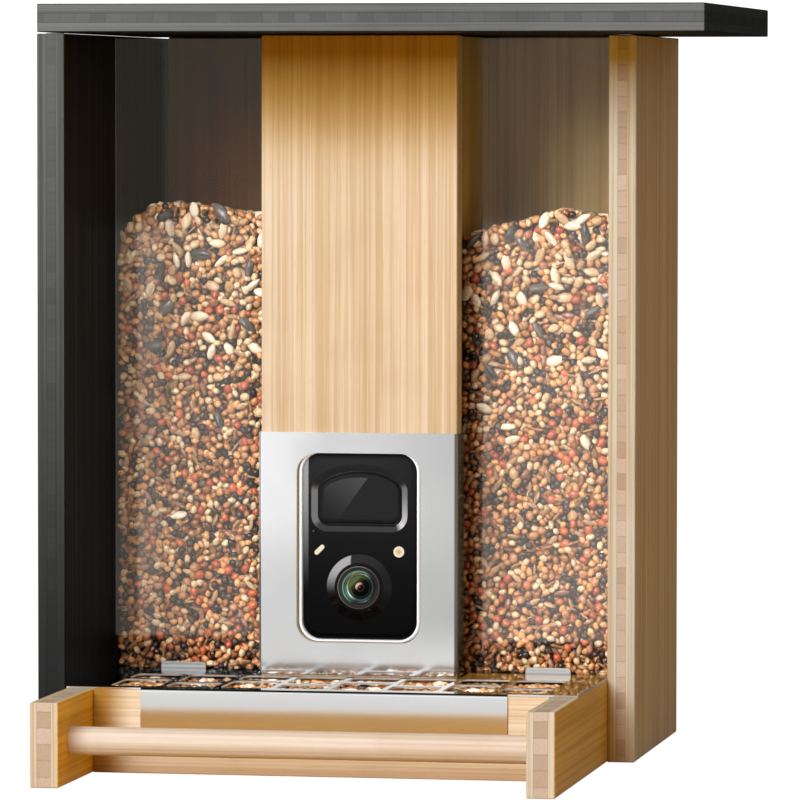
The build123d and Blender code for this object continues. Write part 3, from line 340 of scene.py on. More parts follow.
# Roof black: the edge colours of its narrow faces are lighter still, as painted light, and there is no painted shade
# toward the foot
ROOF_BLACK = dict(BLACK, foot=1.0, gloss=0.05, edge=(0.150, 0.166, 0.150), edge_dark=(0.092, 0.103, 0.093))
ROUND = dict(NATURAL, plies=0.0, light=(0.73, 0.64, 0.47), dark=(0.64, 0.53, 0.35))
# Lighter stain for the apron: partly its own tone, partly painted light that lifts the shade under the perch
PALE_PAINTED_LIFT = dict(NATURAL, light=(1.0, 0.87, 0.56), dark=(0.84, 0.67, 0.38))


def bamboo(name, node, along, through, stain=NATURAL, ply=1 / 3):
    """Three-ply board: fibre on its wide faces, plies and end blocks on its narrow ones."""
    material, tree, surface = new_material(name, Specular_IOR_Level=stain["gloss"])
    axes = "XYZ"
    across = ({"X", "Y", "Z"} - {along, through}).pop()
    vector = millimetre_vector(tree)
    spot = parted(tree, vector)
    low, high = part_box(node)
    start = low[axes.index(through)] / MM
    depth = (high[axes.index(through)] - low[axes.index(through)]) / MM
    share = calc(tree, "DIVIDE", minus(tree, spot[through], start), depth)
    facing = face_direction(tree)
    wide = remap(tree, calc(tree, "ABSOLUTE", facing[through]), 0.5, 0.75)
    narrow = times(tree, minus(tree, 1.0, wide), stain["plies"])
    shift = 40.0 * (len(node) % 7) + start
    fibre = place_group(tree, FIBRE, Along=spot[along], Across=plus(tree, spot[across], shift), Through=spot[through])
    edge_grain = place_group(tree, FIBRE, Along=plus(tree, spot[along], spot[across]),
                             Across=times(tree, spot[through], 1.6), Through=0.0)
    block = place_group(tree, BLOCKS, Run=plus(tree, spot[along], spot[across]), Spot=vector)
    marks = place_group(tree, MARKS, Spot=vector, Size=0.02)
    face = blend_colour(tree, remap(tree, fibre["Tone"], 0.40, 0.60), stain["dark"], stain["light"])
    face = blend_colour(tree, times(tree, fibre["Streak"], stain["streaks"]), face, stain["streak"])
    side = blend_colour(tree, remap(tree, edge_grain["Tone"], 0.38, 0.56), stain["edge_dark"], stain["edge"])
    core = blend_colour(tree, block["Tone"], stain["block"], stain["block_light"])
    core = blend_colour(tree, times(tree, block["Speckle"], 0.45), core, stain["block_dark"])
    core = blend_colour(tree, times(tree, block["Joint"], 0.3), core, stain["block_dark"])
    middle = minus(tree, 0.5, calc(tree, "ABSOLUTE", minus(tree, share, 0.5)))
    in_core = remap(tree, middle, ply - 0.012, ply + 0.012)
    from_glue = calc(tree, "ABSOLUTE", minus(tree, middle, ply))
    glue = minus(tree, 1.0, remap(tree, from_glue, 0.0, 0.025))
    plies = blend_colour(tree, in_core, side, core)
    plies = blend_colour(tree, times(tree, glue, 0.4), plies, stain["streak"])
    colour = blend_colour(tree, narrow, face, plies)
    colour = blend_colour(tree, times(tree, marks["Mask"], 0.12), colour, stain["streak"])
    # Painted shade: where the stain asks for it, the colour darkens toward the foot
    if stain["foot"] < 1:
        rise = remap(tree, spot["Z"], 20.0, 330.0, stain["foot"], 0.95)
        colour = blend_colour(tree, 1.0, colour, grey(tree, rise), "MULTIPLY")
    low_rough, high_rough = stain["rough"]
    drive(tree, surface, Base_Color=colour, Roughness=remap(tree, fibre["Tone"], 0.3, 0.7, high_rough, low_rough))
    bumped(tree, surface, fibre["Height"], 0.1, 0.5)
    return material


# Metals, plastics, glass and rubber


def satin_steel(name, tint=(0.66, 0.67, 0.66), rough=(0.20, 0.26)):
    """Satin sheet with a soft cloudiness and faint finger marks."""
    material, tree, surface = new_material(name, Metallic=1.0)
    vector = millimetre_vector(tree)
    marks = place_group(tree, MARKS, Spot=vector, Size=0.03)
    drive(tree, surface, Base_Color=blend_colour(tree, times(tree, marks["Mask"], 0.06), tint, (0.52, 0.53, 0.52)),
          Roughness=remap(tree, noise(tree, vector, 0.035, 2.0), 0.3, 0.7, *rough))
    bumped(tree, surface, noise(tree, vector, 0.05, 1.0), 0.03, 0.4)
    return material


def faceplate_steel_painted_sheen(name):
    """Satin sheet of the camera's faceplate with a painted reflection: bright at its left and duller toward its right
    edge, darker toward its top and dark along its right fold, with a painted glow brightest at the upper left.
    """
    material, tree, surface = new_material(name, Metallic=1.0, Emission_Strength=1.0)
    material.cycles.emission_sampling = "NONE"
    vector = millimetre_vector(tree)
    spot = object_millimetres(tree)
    low, high = ends("camera_faceplate", 0)
    marks = place_group(tree, MARKS, Spot=vector, Size=0.03)
    foot = corner("seed_plate", 2, True) - TAB_RISE
    # Painted reflection: lighter at the left than at the right, and both sides lighter just above the plate
    left = blend_colour(tree, remap(tree, spot["Z"], foot, foot + 22), (0.74, 0.74, 0.74), (0.66, 0.66, 0.66))
    right = blend_colour(tree, remap(tree, spot["Z"], foot, foot + 30), (0.80, 0.805, 0.80), (0.46, 0.467, 0.458))
    tint = blend_colour(tree, remap(tree, spot["X"], low, high), left, right)
    # Painted shade: darker toward the top
    head = corner("camera_faceplate", 2, True)
    tint = blend_colour(tree, remap(tree, spot["Z"], head - 56, head - 8, 0.0, 0.1), tint, (0, 0, 0))
    # Painted dark reflection along the fold at the right edge
    painted_fold_dark = remap(tree, spot["X"], high - 2.4, high - 1.5)
    tint = blend_colour(tree, painted_fold_dark, tint, (0.15, 0.13, 0.095))
    tint = blend_colour(tree, times(tree, marks["Mask"], 0.06), tint, (0.45, 0.46, 0.45))
    # Painted glow: an emission brightest at the upper left, though the plate is no lamp
    glow = times(tree, remap(tree, spot["Z"], 80, 125), remap(tree, spot["X"], low, high + 30, 0.33, 0.02))
    glow = times(tree, plus(tree, glow, 0.085), minus(tree, 1.0, painted_fold_dark))
    satin = remap(tree, noise(tree, vector, 0.035, 2.0), 0.3, 0.7, 0.15, 0.2)
    satin = times(tree, satin, remap(tree, spot["Z"], foot, foot + 11.0, 0.3, 1.0))
    drive(tree, surface, Base_Color=tint, Emission_Color=grey(tree, glow), Roughness=satin)
    return material


def mirror_steel(name):
    """Polished plate: a near mirror with faint wipe marks, a slight waviness and a lighter, rougher lip; the tabs carry
    painted shade at their foot and a painted highlight at their top, the front fold a painted dark band, and the
    plate's right part a painted brown reflection.
    """
    material, tree, surface = new_material(name, Metallic=1.0, Emission_Strength=1.0)
    material.cycles.emission_sampling = "NONE"
    vector = millimetre_vector(tree)
    spot = object_millimetres(tree)
    facing = face_direction(tree)
    marks = place_group(tree, MARKS, Spot=vector, Size=0.05)
    polish = blend_colour(tree, times(tree, marks["Mask"], 0.15), PLATE_POLISH, PLATE_WIPED)
    top = corner("seed_plate", 2, True)
    bend = top - TAB_RISE
    # Painted shade and light on the tabs: a dark line at their foot, lighter toward their top
    rise = remap(tree, spot["Z"], bend + 0.5, top - 0.3, 0.35, 1.0)
    rise = times(tree, rise, remap(tree, spot["Z"], bend + 0.35, bend + 0.5))
    turned_up = calc(tree, "GREATER_THAN", spot["Z"], bend + 0.05)
    tone = blend_colour(tree, turned_up, polish, blend_colour(tree, rise, (0.02, 0.02, 0.02), polish))
    # Painted reflection: a dark band on the upper part of the front fold
    painted_fold_dark = times(tree, remap(tree, facing["Z"], 0.4, 0.55), remap(tree, facing["Z"], 0.985, 0.999, 1.0, 0.0))
    tone = blend_colour(tree, painted_fold_dark, tone, (0.03, 0.03, 0.03))
    upright = remap(tree, facing["Z"], 0.3, 0.1)
    front = corner("seed_plate", 1, False)
    lip = remap(tree, spot["Y"], front + 3.0, front + 2.0)
    tone = blend_colour(tree, times(tree, lip, upright), tone, (0.90, 0.90, 0.90))
    start = corner("camera_faceplate", 0, True)
    # Painted brown reflection on the flat top, right of the faceplate's left side
    warm = times(tree, remap(tree, spot["X"], start - 1, start + 1), calc(tree, "GREATER_THAN", facing["Z"], 0.999))
    warm = times(tree, warm, minus(tree, 1.0, turned_up))
    glow = blend_colour(tree, warm, (0, 0, 0), PLATE_PAINTED_REFLECTION)
    # Painted highlight: a white emission along the tabs' tops
    tab_painted_highlight = times(tree, turned_up, remap(tree, spot["Z"], top - 1.2, top - 1.8, 0.06, 0.32))
    glow = blend_colour(tree, tab_painted_highlight, glow, (1, 1, 1))
    wiped = remap(tree, marks["Mask"], 0.0, 1.0, 0.04, 0.09)
    rough = blend_value(tree, upright, wiped, blend_value(tree, lip, 0.55, 0.13))
    drive(tree, surface, Base_Color=tone, Emission_Color=glow, Roughness=rough)
    bumped(tree, surface, noise(tree, vector, 0.02, 1.0), 0.06, 0.2)
    return material


def moulded(name, colour, rough=(0.35, 0.5), grain=0.0, **shader):
    """Moulded plastic or rubber with a fine skin and slight tone changes."""
    material, tree, surface = new_material(name, **shader)
    vector = millimetre_vector(tree)
    marks = place_group(tree, MARKS, Spot=vector, Size=0.06)
    darker = tuple(channel * 0.86 for channel in colour)
    drive(tree, surface, Base_Color=blend_colour(tree, times(tree, marks["Mask"], 0.5), colour, darker),
          Roughness=remap(tree, marks["Fine"], 0.3, 0.7, *rough))
    bumped(tree, surface, marks["Fine"], 0.03, grain)
    return material


# Painted reflection on the panes, an emission: from one place along X to the next, in millimetres, it changes by a step
PAINTED_SHEEN_STEPS = (
    (-150.0, -140.0, 0.014), (-129.0, -128.0, 0.036), (-117.2, -116.4, -0.018), (-78.0, -72.0, -0.030),
    (34.6, 35.3, 0.034), (40.0, 50.0, 0.016),
)
PAINTED_SHEEN_START = (34.6, 35.3)
PAINTED_SHEEN_FOOT = (52.6, 54.6)
PAINTED_SHEEN_HEAD = (252.0, 240.0)
PAINTED_SHEEN_FAINT = (0.0095, 0.009, 0.0065)
PAINTED_SHEEN_TONE = (0.92, 0.87, 0.80)


def clear_pane(name):
    """Acrylic sheet, clear, with a painted reflection (an emission) that is stronger in parts, and faint dust marks."""
    material, tree, surface = new_material(name, Transmission_Weight=1.0, IOR=1.18, Emission_Strength=1.0)
    material.cycles.emission_sampling = "NONE"
    spot = object_millimetres(tree)
    vector = millimetre_vector(tree)
    # Painted reflection: steps along X, fading toward the top, none at the foot nor over the left part of the right
    # pane
    level = 0.0
    for start, end, step in PAINTED_SHEEN_STEPS:
        level = plus(tree, level, remap(tree, spot["X"], start, end, 0.0, step))
    level = times(tree, level, remap(tree, spot["Z"], *PAINTED_SHEEN_HEAD))
    level = times(tree, level, remap(tree, noise(tree, vector, 0.03, 2.0), 0.35, 0.65, 0.85, 1.15))
    painted_sheen = blend_colour(tree, level, PAINTED_SHEEN_FAINT, PAINTED_SHEEN_TONE)
    clear = times(tree, remap(tree, spot["X"], *PAINTED_SHEEN_START, 1.0, 0.0), calc(tree, "GREATER_THAN", spot["X"], 0.0))
    shown = times(tree, remap(tree, spot["Z"], *PAINTED_SHEEN_FOOT), minus(tree, 1.0, clear))
    marks = place_group(tree, MARKS, Spot=vector, Size=0.02)
    drive(tree, surface, Emission_Color=blend_colour(tree, shown, (0, 0, 0), painted_sheen),
          Base_Color=blend_colour(tree, marks["Mask"], (1, 1, 1), (0.93, 0.94, 0.93)),
          Roughness=remap(tree, marks["Fine"], 0.4, 0.8, 0.0, 0.04))
    shadow = put(tree, "ShaderNodeLightPath").outputs["Is Shadow Ray"]
    through = put(tree, "ShaderNodeBsdfTransparent", Color=(0.92, 0.92, 0.92)).outputs[0]
    show(tree, blend_shader(tree, shadow, surface.outputs[0], through))
    return material


def painted_mirror_tone(tree, colour):
    """Seed colour; seen in a polished surface it takes a painted reflection tone, black on the left and brown on the
    right.
    """
    right = remap(tree, object_millimetres(tree)["X"], 20.0, 30.0)
    dim = blend_colour(tree, right, (0.035, 0.028, 0.014), (0.15, 0.07, 0.013))
    return blend_colour(tree, in_mirror(tree), colour, dim)


def grain_coat(name, light, dark, rough, odd, odd_share, hidden):
    """Seed coat: each grain has its own tone, a share of them an odd colour, with a mottled skin; hidden grains take a
    painted reflection tone in polished surfaces.
    """
    material, tree, surface = new_material(name, Roughness=rough)
    vector = millimetre_vector(tree)
    own = put(tree, "ShaderNodeNewGeometry").outputs["Random Per Island"]
    mottle = noise(tree, vector, 0.7, 3.0, 0.6)
    tone = plus(tree, times(tree, calc(tree, "FRACT", times(tree, own, 7.3)), 0.7), times(tree, mottle, 0.45))
    colour = blend_colour(tree, remap(tree, tone, 0.15, 0.95), dark, light)
    colour = blend_colour(tree, calc(tree, "LESS_THAN", own, odd_share), colour, odd)
    drive(tree, surface, Base_Color=painted_mirror_tone(tree, colour) if hidden else colour)
    bumped(tree, surface, mottle, 0.15, 0.4)
    return material


# Materials of the CAD nodes

# Axes that a board's fibre runs along and that its plies lie across, its stain, and its outer ply's share
# where that isn't a third
BOARD_GRAIN = {
    "left_side_board": ("Z", "X", BLACK),
    "right_side_board": ("Z", "X", NATURAL),
    "back_board": ("Z", "Y", NATURAL),
    "column_front_board": ("Z", "Y", NATURAL),
    "left_partition": ("Z", "X", NATURAL),
    "right_partition": ("Z", "X", NATURAL),
    "tray_floor": ("X", "Z", NATURAL),
    "tray_apron": ("X", "Y", PALE_PAINTED_LIFT),
    "left_perch_rail": ("Y", "X", NATURAL, 1 / 4),
    "right_perch_rail": ("Y", "X", NATURAL, 1 / 4),
    "left_seed_chute": ("X", "Z", NATURAL),
    "right_seed_chute": ("X", "Z", NATURAL),
    "service_cover": ("Z", "Y", NATURAL),
    "roof_board": ("X", "Z", ROOF_BLACK),
}


# Faces given painted shade, or painted light where a tint is over 1: axis and way they look, and their tint;
# or two tints, the axis they change along and where the change starts and ends, in millimetres from that axis's low
# side
PAINTED_SHADE_AND_LIGHT = {
    "back_board": ("Y", -1, (0.23, 0.08, 0.0), (1.09, 1.0, 0.61), "X", 0, 303),
    "roof_board": ("X", 1, (0.2, 0.26, 0.31)),
    "right_partition": ("X", 1, (0.75, 0.6, 0.2)),
    "left_perch_rail": ("X", 1, (1.38, 1.13, 0.2)),
    "right_perch_rail": ("X", 1, (1.02, 0.95, 0.42)),
    "left_side_board": ("X", 1, (0.5, 0.3, 0.05)),
    "right_side_board": ("X", 1, (0.81, 1.03, 1.6)),
    "tray_apron": ("Y", -1, (0.42, 0.25, 0.06), (0.88, 0.83, 0.79), "X", 4, 20),
    "column_front_board": ("Y", -1, (1.03, 1.10, 1.16), (0.76, 0.60, 0.22), "Z", 247, 301),
}


def dress(material, *nodes):
    """Gives CAD nodes their material."""
    for node in nodes:
        data = NODES[node].data
        data.materials.clear()
        data.materials.append(material)


def paint_shade_and_light_on_faces(material, node, axis, way, tint, last=None, run="X", start=0, end=0):
    """Paints shade, and light where a tint is over 1, on the faces of a board that look one way, by one tint or from
    one to another along a run.
    """
    tree = material.node_tree
    colour = tree.nodes["Principled BSDF"].inputs["Base Color"]
    there = calc(tree, "GREATER_THAN", times(tree, face_direction(tree)[axis], way), 0.7)
    if last:
        low = corner(node, "XYZ".index(run), False)
        tint = blend_colour(tree, remap(tree, object_millimetres(tree)[run], low + start, low + end), tint, last)
    tint = blend_colour(tree, there, (1, 1, 1), tint)
    feed(tree, colour, blend_colour(tree, 1.0, colour.links[0].from_socket, tint, "MULTIPLY"))


def painted_glow_in_mirrors(material):
    """Painted glow: lets the polished lip show the perch's rear side bright, by an emission that only mirror rays see.
    """
    tree = material.node_tree
    glow = times(tree, in_mirror(tree), PERCH_PAINTED_GLOW)
    tint = blend_colour(tree, 1.0, grey(tree, glow), (1.0, 0.56, 0.16), "MULTIPLY")
    drive(tree, tree.nodes["Principled BSDF"], Emission_Color=tint, Emission_Strength=1.0)
    return material


def dress_boards():
    """Each board gets the grain that its own sides need."""
    for node, grain in BOARD_GRAIN.items():
        material = bamboo("bamboo_" + node, node, *grain)
        if node in PAINTED_SHADE_AND_LIGHT:
            paint_shade_and_light_on_faces(material, node, *PAINTED_SHADE_AND_LIGHT[node])
        dress(material, node)
    dress(painted_glow_in_mirrors(bamboo("bamboo_perch_dowel", "perch_dowel", "X", "Z", ROUND)), "perch_dowel")
    dress(bamboo("bamboo_pegs", "carcass_dowels", "X", "Z", ROUND), "carcass_dowels", "tray_dowels", "column_dowels")


def dress_fittings():
    """Metal, plastic, rubber and glass nodes."""
    dress(satin_steel("zinc_plate", (0.62, 0.62, 0.64), (0.28, 0.45)),
          "back_screws", "rail_screws", "hinge_pins", "hinge_frame_screws", "hinge_roof_screws",
          "service_cover_screws", "cradle_screws", "case_screws", "frame_magnets", "roof_magnets",
          "motion_sensor", "charging_socket")
    dress(moulded("hinge_black_paint", (0.02, 0.02, 0.02), (0.3, 0.45), 0.1, Coat_Weight=0.3),
          "hinge_frame_leaves", "hinge_roof_leaves")
    dress(satin_steel("insert_brass", (0.78, 0.57, 0.26), (0.25, 0.4)), "pole_insert")
    dress(faceplate_steel_painted_sheen("faceplate_steel_painted_sheen"), "camera_faceplate")
    dress(satin_steel("cradle_steel", (0.6, 0.61, 0.61), (0.3, 0.45)), "camera_cradle")
    dress(mirror_steel("plate_mirror_steel"), "seed_plate")
    dress(clear_pane("pane_acrylic"), "left_hopper_window", "right_hopper_window")
    # Painted glow: the white housing has a faint emission, though it is no lamp
    dress(moulded("housing_white_painted_glow", (0.86, 0.86, 0.84), (0.3, 0.42), 0.1, Emission_Color=(0.9, 0.94, 0.96),
                  Emission_Strength=0.22), "camera_housing", "camera_back")
    dress(moulded("soft_black_plastic", (0.02, 0.02, 0.021), (0.42, 0.55), 0.3),
          "clamp_knob", "speaker", "power_button")
    dress(ringed("barrel_rings", BARREL_RINGS, Specular_IOR_Level=0.08), "lens_barrel")
    dress(gloss_face("face_gloss_black"), "camera_face")
    dress(moulded("sensor_smoked", (0.011, 0.012, 0.0115), (0.004, 0.006), 0.0, Specular_IOR_Level=0.14),
          "sensor_window")
    dress(ringed("bezel_rings", BEZEL_RINGS, Specular_IOR_Level=0.08), "lens_bezel")
    dress(moulded("grey_rubber", (0.06, 0.06, 0.06), (0.6, 0.75), 0.5), "case_gasket", "port_cover")
    dress(moulded("cream_diffuser", (0.78, 0.72, 0.46), (0.18, 0.28), 0.0), "status_light")
    dress(lamp_cover("lamp_cover_cream"), "light_cover")
    dress(moulded("solder_mask_green", (0.02, 0.14, 0.06), (0.25, 0.35), 0.1), "main_board", "image_sensor_board")
    dress(moulded("cell_wrap_blue", (0.03, 0.16, 0.32), (0.2, 0.3), 0.0), "battery_cells")
    dress(lens_coating("lens_coated_glass"), "lens_glass")


# Rings about the lens's axis: radius and width in millimetres, colour where the light falls, colour in the shade
BEZEL_RINGS = (
    (8.4, 2.4, (0.032, 0.031, 0.025), (0.02, 0.0195, 0.016)),
    (9.65, 0.25, (0.15, 0.15, 0.125), (0.07, 0.068, 0.056)),
    (7.3, 0.9, (0.13, 0.32, 0.22), (0.003, 0.008, 0.006)),
)
BARREL_RINGS = ((6.8, 0.9, (0.13, 0.32, 0.22), (0.003, 0.008, 0.006)),)
GLASS_RINGS = (
    (6.15, 0.6, (0.93, 1.0, 0.96), (0.07, 0.12, 0.10)),
    (5.4, 0.25, (0.10, 0.15, 0.06), (0.025, 0.035, 0.032)),
    (4.6, 0.2, (0.09, 0.12, 0.04), (0.018, 0.024, 0.024)),
)


def about_axis(tree, node):
    """Place across and above a round node's axis, and distance from it, in millimetres."""
    spot = object_millimetres(tree)
    across = minus(tree, spot["X"], sum(ends(node, 0)) / 2)
    above = minus(tree, spot["Z"], sum(ends(node, 2)) / 2)
    return across, above, span(tree, across, above)


def ring_mask(tree, radius, middle, width):
    """Soft ring round the axis."""
    off = calc(tree, "ABSOLUTE", minus(tree, radius, middle))
    return remap(tree, off, width / 2, width / 2 + 0.12, 1.0, 0.0)


def with_rings(tree, base, rings):
    """Rings over a base colour, with painted light toward the upper left and painted shade elsewhere."""
    across, above, radius = about_axis(tree, "lens_glass")
    slant = minus(tree, times(tree, above, 0.75), across)
    share = remap(tree, calc(tree, "DIVIDE", slant, calc(tree, "MAXIMUM", radius, 0.5)), -0.5, 0.55)
    for middle, width, lit, shaded in rings:
        tone = blend_colour(tree, share, shaded, lit)
        base = blend_colour(tree, ring_mask(tree, radius, middle, width), base, tone)
    return base


def ringed(name, rings, **shader):
    """Black moulding with tone rings turned into it; each ring is painted light toward the upper left and painted shade
    elsewhere.
    """
    material, tree, surface = new_material(name, Roughness=0.3, **shader)
    drive(tree, surface, Base_Color=with_rings(tree, (0.004, 0.004, 0.004), rings))
    return material


def surround_walls(tree, spot, facing, tone):
    """Sloping walls round the sensor window: a painted highlight on the right wall, a painted lift on the top wall, and
    how much clear coat they show.
    """
    low_x, high_x = ends("sensor_window", 0)
    foot, head = ends("sensor_window", 2)
    reach = 4.2
    aside = calc(tree, "ABSOLUTE", minus(tree, spot["X"], (low_x + high_x) / 2))
    tall = calc(tree, "ABSOLUTE", minus(tree, spot["Z"], (foot + head) / 2))
    inside = times(tree, calc(tree, "LESS_THAN", aside, (high_x - low_x) / 2 + reach),
                  calc(tree, "LESS_THAN", tall, (head - foot) / 2 + reach))
    right = times(tree, inside, remap(tree, facing["X"], -0.15, -0.4))
    right = times(tree, right, remap(tree, facing["Z"], -0.3, -0.1))
    top = times(tree, inside, remap(tree, facing["Z"], -0.05, -0.2))
    # Painted light: the top wall is lifted to a dark grey, hiding its shade
    tone = blend_colour(tree, top, tone, (0.024, 0.0255, 0.0235))
    # Painted highlight on the right wall, brightest toward its foot
    lit = blend_colour(tree, remap(tree, spot["Z"], foot - 2, foot + 16), (0.62, 0.63, 0.58), (0.19, 0.20, 0.18))
    level = remap(tree, facing["Z"], 0.2, 0.4, 1.0, 0.22)
    return blend_colour(tree, right, tone, lit), times(tree, inside, level)


def swell_tone(tree, facing, tone):
    """Painted highlight: a crescent of light on the swell round the lens, upper left, over a faint painted sheen."""
    across, above, radius = about_axis(tree, "lens_glass")
    ring = times(tree, calc(tree, "LESS_THAN", radius, 15.5), remap(tree, facing["Y"], -0.99, -0.97))
    # Painted highlight: the crescent at the upper left, and a faint painted sheen lighter toward the top
    left = times(tree, remap(tree, across, -3.4, -4.4), remap(tree, above, -3.5, 9.0, 0.0, 0.36))
    painted_sheen = remap(tree, minus(tree, above, calc(tree, "ABSOLUTE", across)), -9.0, 8.0, 0.002, 0.014)
    glow = calc(tree, "MAXIMUM", left, painted_sheen)
    light = blend_colour(tree, 1.0, grey(tree, glow), (0.96, 1.0, 0.9), "MULTIPLY")
    return blend_colour(tree, ring, tone, light), ring


def gloss_face(name):
    """Gloss black face with painted light: lighter toward its top, a painted highlight on its left bevel, on the
    surround's right wall and on the swell.
    """
    material, tree, surface = new_material(name, Roughness=0.12, Specular_IOR_Level=0.05, Coat_Roughness=0.06,
                                           Coat_IOR=2.4)
    low, high = ends("camera_face", 2)
    edge = corner("camera_face", 0, False)
    spot = object_millimetres(tree)
    facing = face_direction(tree)
    # Painted light: the face lightens toward its top
    tone = blend_colour(tree, remap(tree, spot["Z"], low + 8, high), (0.0012, 0.0012, 0.0012), (0.0125, 0.0135, 0.0125))
    # Painted highlight along the left bevel, fading toward the foot
    bevel = blend_colour(tree, remap(tree, spot["Z"], low + 20, high - 8), (0.002, 0.002, 0.002), (0.29, 0.30, 0.27))
    tone = blend_colour(tree, remap(tree, spot["X"], edge + 3.2, edge + 3.0), tone, bevel)
    tone, surround_coat = surround_walls(tree, spot, facing, tone)
    tone, ring = swell_tone(tree, facing, tone)
    coat = blend_value(tree, ring, surround_coat, 0.06)
    sloping = times(tree, remap(tree, facing["Y"], -0.99, -0.97), remap(tree, facing["Z"], -0.3, -0.05))
    drive(tree, surface, Base_Color=tone, Coat_Weight=times(tree, sloping, coat))
    return material


def lamp_cover(name):
    """Lamp cover: cream at its rim, golden in its middle."""
    material, tree, surface = new_material(name, Roughness=0.2)
    radius = about_axis(tree, "light_cover")[2]
    tone = blend_colour(tree, remap(tree, radius, 0.3, 2.3), (0.56, 0.43, 0.17), (0.80, 0.76, 0.54))
    drive(tree, surface, Base_Color=tone)
    return material


def lens_coating(name):
    """Coated front element with painted reflections: green toward the upper left with a lighter painted highlight
    there, a pale painted ring at its rim, and a pink painted reflection over the pupil in its middle.
    """
    material, tree, surface = new_material(name, Transmission_Weight=0.05, IOR=1.3, Roughness=0.05,
                                           Specular_IOR_Level=0.05)
    across, above, radius = about_axis(tree, "lens_glass")
    slant = minus(tree, across, above)
    # Painted reflection: the coating's green toward the upper left
    green = remap(tree, slant, -7.5, 0.4, 1.0, 0.0)
    tone = blend_colour(tree, green, (0.0015, 0.0015, 0.0015), (0.055, 0.085, 0.014))
    # Painted highlight on the upper left part
    lit = calc(tree, "LESS_THAN", minus(tree, across, times(tree, above, 1.05)), -4.4)
    tone = blend_colour(tree, times(tree, lit, 0.5), tone, (0.13, 0.19, 0.075))
    tone = with_rings(tree, tone, GLASS_RINGS)
    pupil = remap(tree, radius, 1.9, 2.3, 1.0, 0.0)
    # Painted pink reflection over the pupil, fading toward the lower right
    pupil_painted_reflection = blend_colour(tree, remap(tree, slant, -2.2, 0.2), (0.72, 0.42, 0.31), (0.045, 0.016, 0.010))
    tone = blend_colour(tree, pupil, tone, pupil_painted_reflection)
    aside = span(tree, minus(tree, across, 0.4), plus(tree, above, 0.3))
    tone = blend_colour(tree, remap(tree, aside, 1.15, 1.5, 1.0, 0.0), tone, (0.004, 0.003, 0.003))
    tone = blend_colour(tree, remap(tree, radius, 0.1, 0.45, 1.0, 0.0), tone, (0.13, 0.13, 0.12))
    drive(tree, surface, Base_Color=tone)
    return material


# Seed

rng = np.random.default_rng(7)
SEED_PIECES = bpy.data.collections.new("seed_pieces")
GLOSS_PIECES = bpy.data.collections.new("gloss_pieces")
for gloss_node in ("camera_face", "sensor_window"):
    GLOSS_PIECES.objects.link(NODES[gloss_node])


def corner(node, axis, high):
    """Place of a node's side along an axis, in millimetres."""
    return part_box(node)[1 if high else 0][axis] / MM


def ends(node, axis):
    """Both sides of a node along an axis, in millimetres."""
    return corner(node, axis, False), corner(node, axis, True)


def grain_shape(form):
    """Unit grain: a small rounded mesh, drawn out to a point at one end for form above zero."""
    mesh = bmesh.new()
    bmesh.ops.create_icosphere(mesh, subdivisions=2, radius=1.0)
    points = np.array([v.co for v in mesh.verts])
    faces = np.array([[v.index for v in f.verts] for f in mesh.faces])
    mesh.free()
    taper = 1 - form * np.clip(points[:, 0], -0.3, 1) ** 2 * np.sign(np.clip(points[:, 0], 0, 1))
    points[:, 1:] *= taper[:, None]
    return points, faces


def turns(count, tilt):
    """Random rotations: any turn in the sheet's plane, and some tilt out of it."""
    spin = rng.uniform(0, 2 * math.pi, count)
    lean = rng.normal(0, tilt, count)
    roll = rng.uniform(0, 2 * math.pi, count)
    return np.array([
        np.array(Matrix.Rotation(a, 3, "Z") @ Matrix.Rotation(b, 3, "Y") @ Matrix.Rotation(c, 3, "X"))
        for a, b, c in zip(spin, lean, roll)
    ])


def grains(name, size, spots, facing, material, form, tilt):
    """One mesh of many grains at given spots, in millimetres, lying flat against a direction."""
    points, faces = grain_shape(form)
    count = len(spots)
    scale = rng.uniform(0.86, 1.14, (count, 1, 1))
    shaped = points[None] * np.array(size) * scale
    turned = np.einsum("nij,nkj->nki", turns(count, tilt), shaped)
    placed = np.einsum("ij,nkj->nki", np.array(facing), turned) + np.array(spots)[:, None]
    all_faces = (faces[None] + (np.arange(count) * len(points))[:, None, None]).reshape(-1, 3)
    seed_piece(name, (placed.reshape(-1, 3) * MM).tolist(), all_faces.tolist(), material, True)


def new_piece(name, points, faces, material):
    """Mesh in the scene."""
    mesh = bpy.data.meshes.new(name)
    mesh.from_pydata(points, [], faces)
    mesh.materials.append(material)
    piece = bpy.data.objects.new(name, mesh)
    bpy.context.collection.objects.link(piece)
    return piece


def seed_piece(name, points, faces, coat, sparkling=False):
    """Seed that rides on the feeder's body; the sparkle lamp lights only the grains."""
    piece = new_piece(name, points, faces, coat)
    piece.data.shade_smooth()
    if sparkling:
        SEED_PIECES.objects.link(piece)
    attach(piece, "feeder_body")


def seed_quilt(name, rows, coat):
    """Lumpy seed surface from rows of points in millimetres."""
    wide = len(rows[0])
    faces = [
        (r * wide + s, r * wide + s + 1, (r + 1) * wide + s + 1, (r + 1) * wide + s)
        for r in range(len(rows) - 1)
        for s in range(wide - 1)
    ]
    seed_piece(name, [[value * MM for value in point] for row in rows for point in row], faces, coat)


def in_cluster(x, y):
    """Whether the dark grains gather at a spot."""
    return math.sin(0.43 * x + 1.9 * math.sin(0.17 * y)) * math.sin(0.39 * y + 2.1 * math.sin(0.13 * x)) > 0.12


# Cell of the grid that neighbours are looked up in, in millimetres; how near grains may come, as a share of their radii
CELL = 4.0
CLOSENESS = 0.86


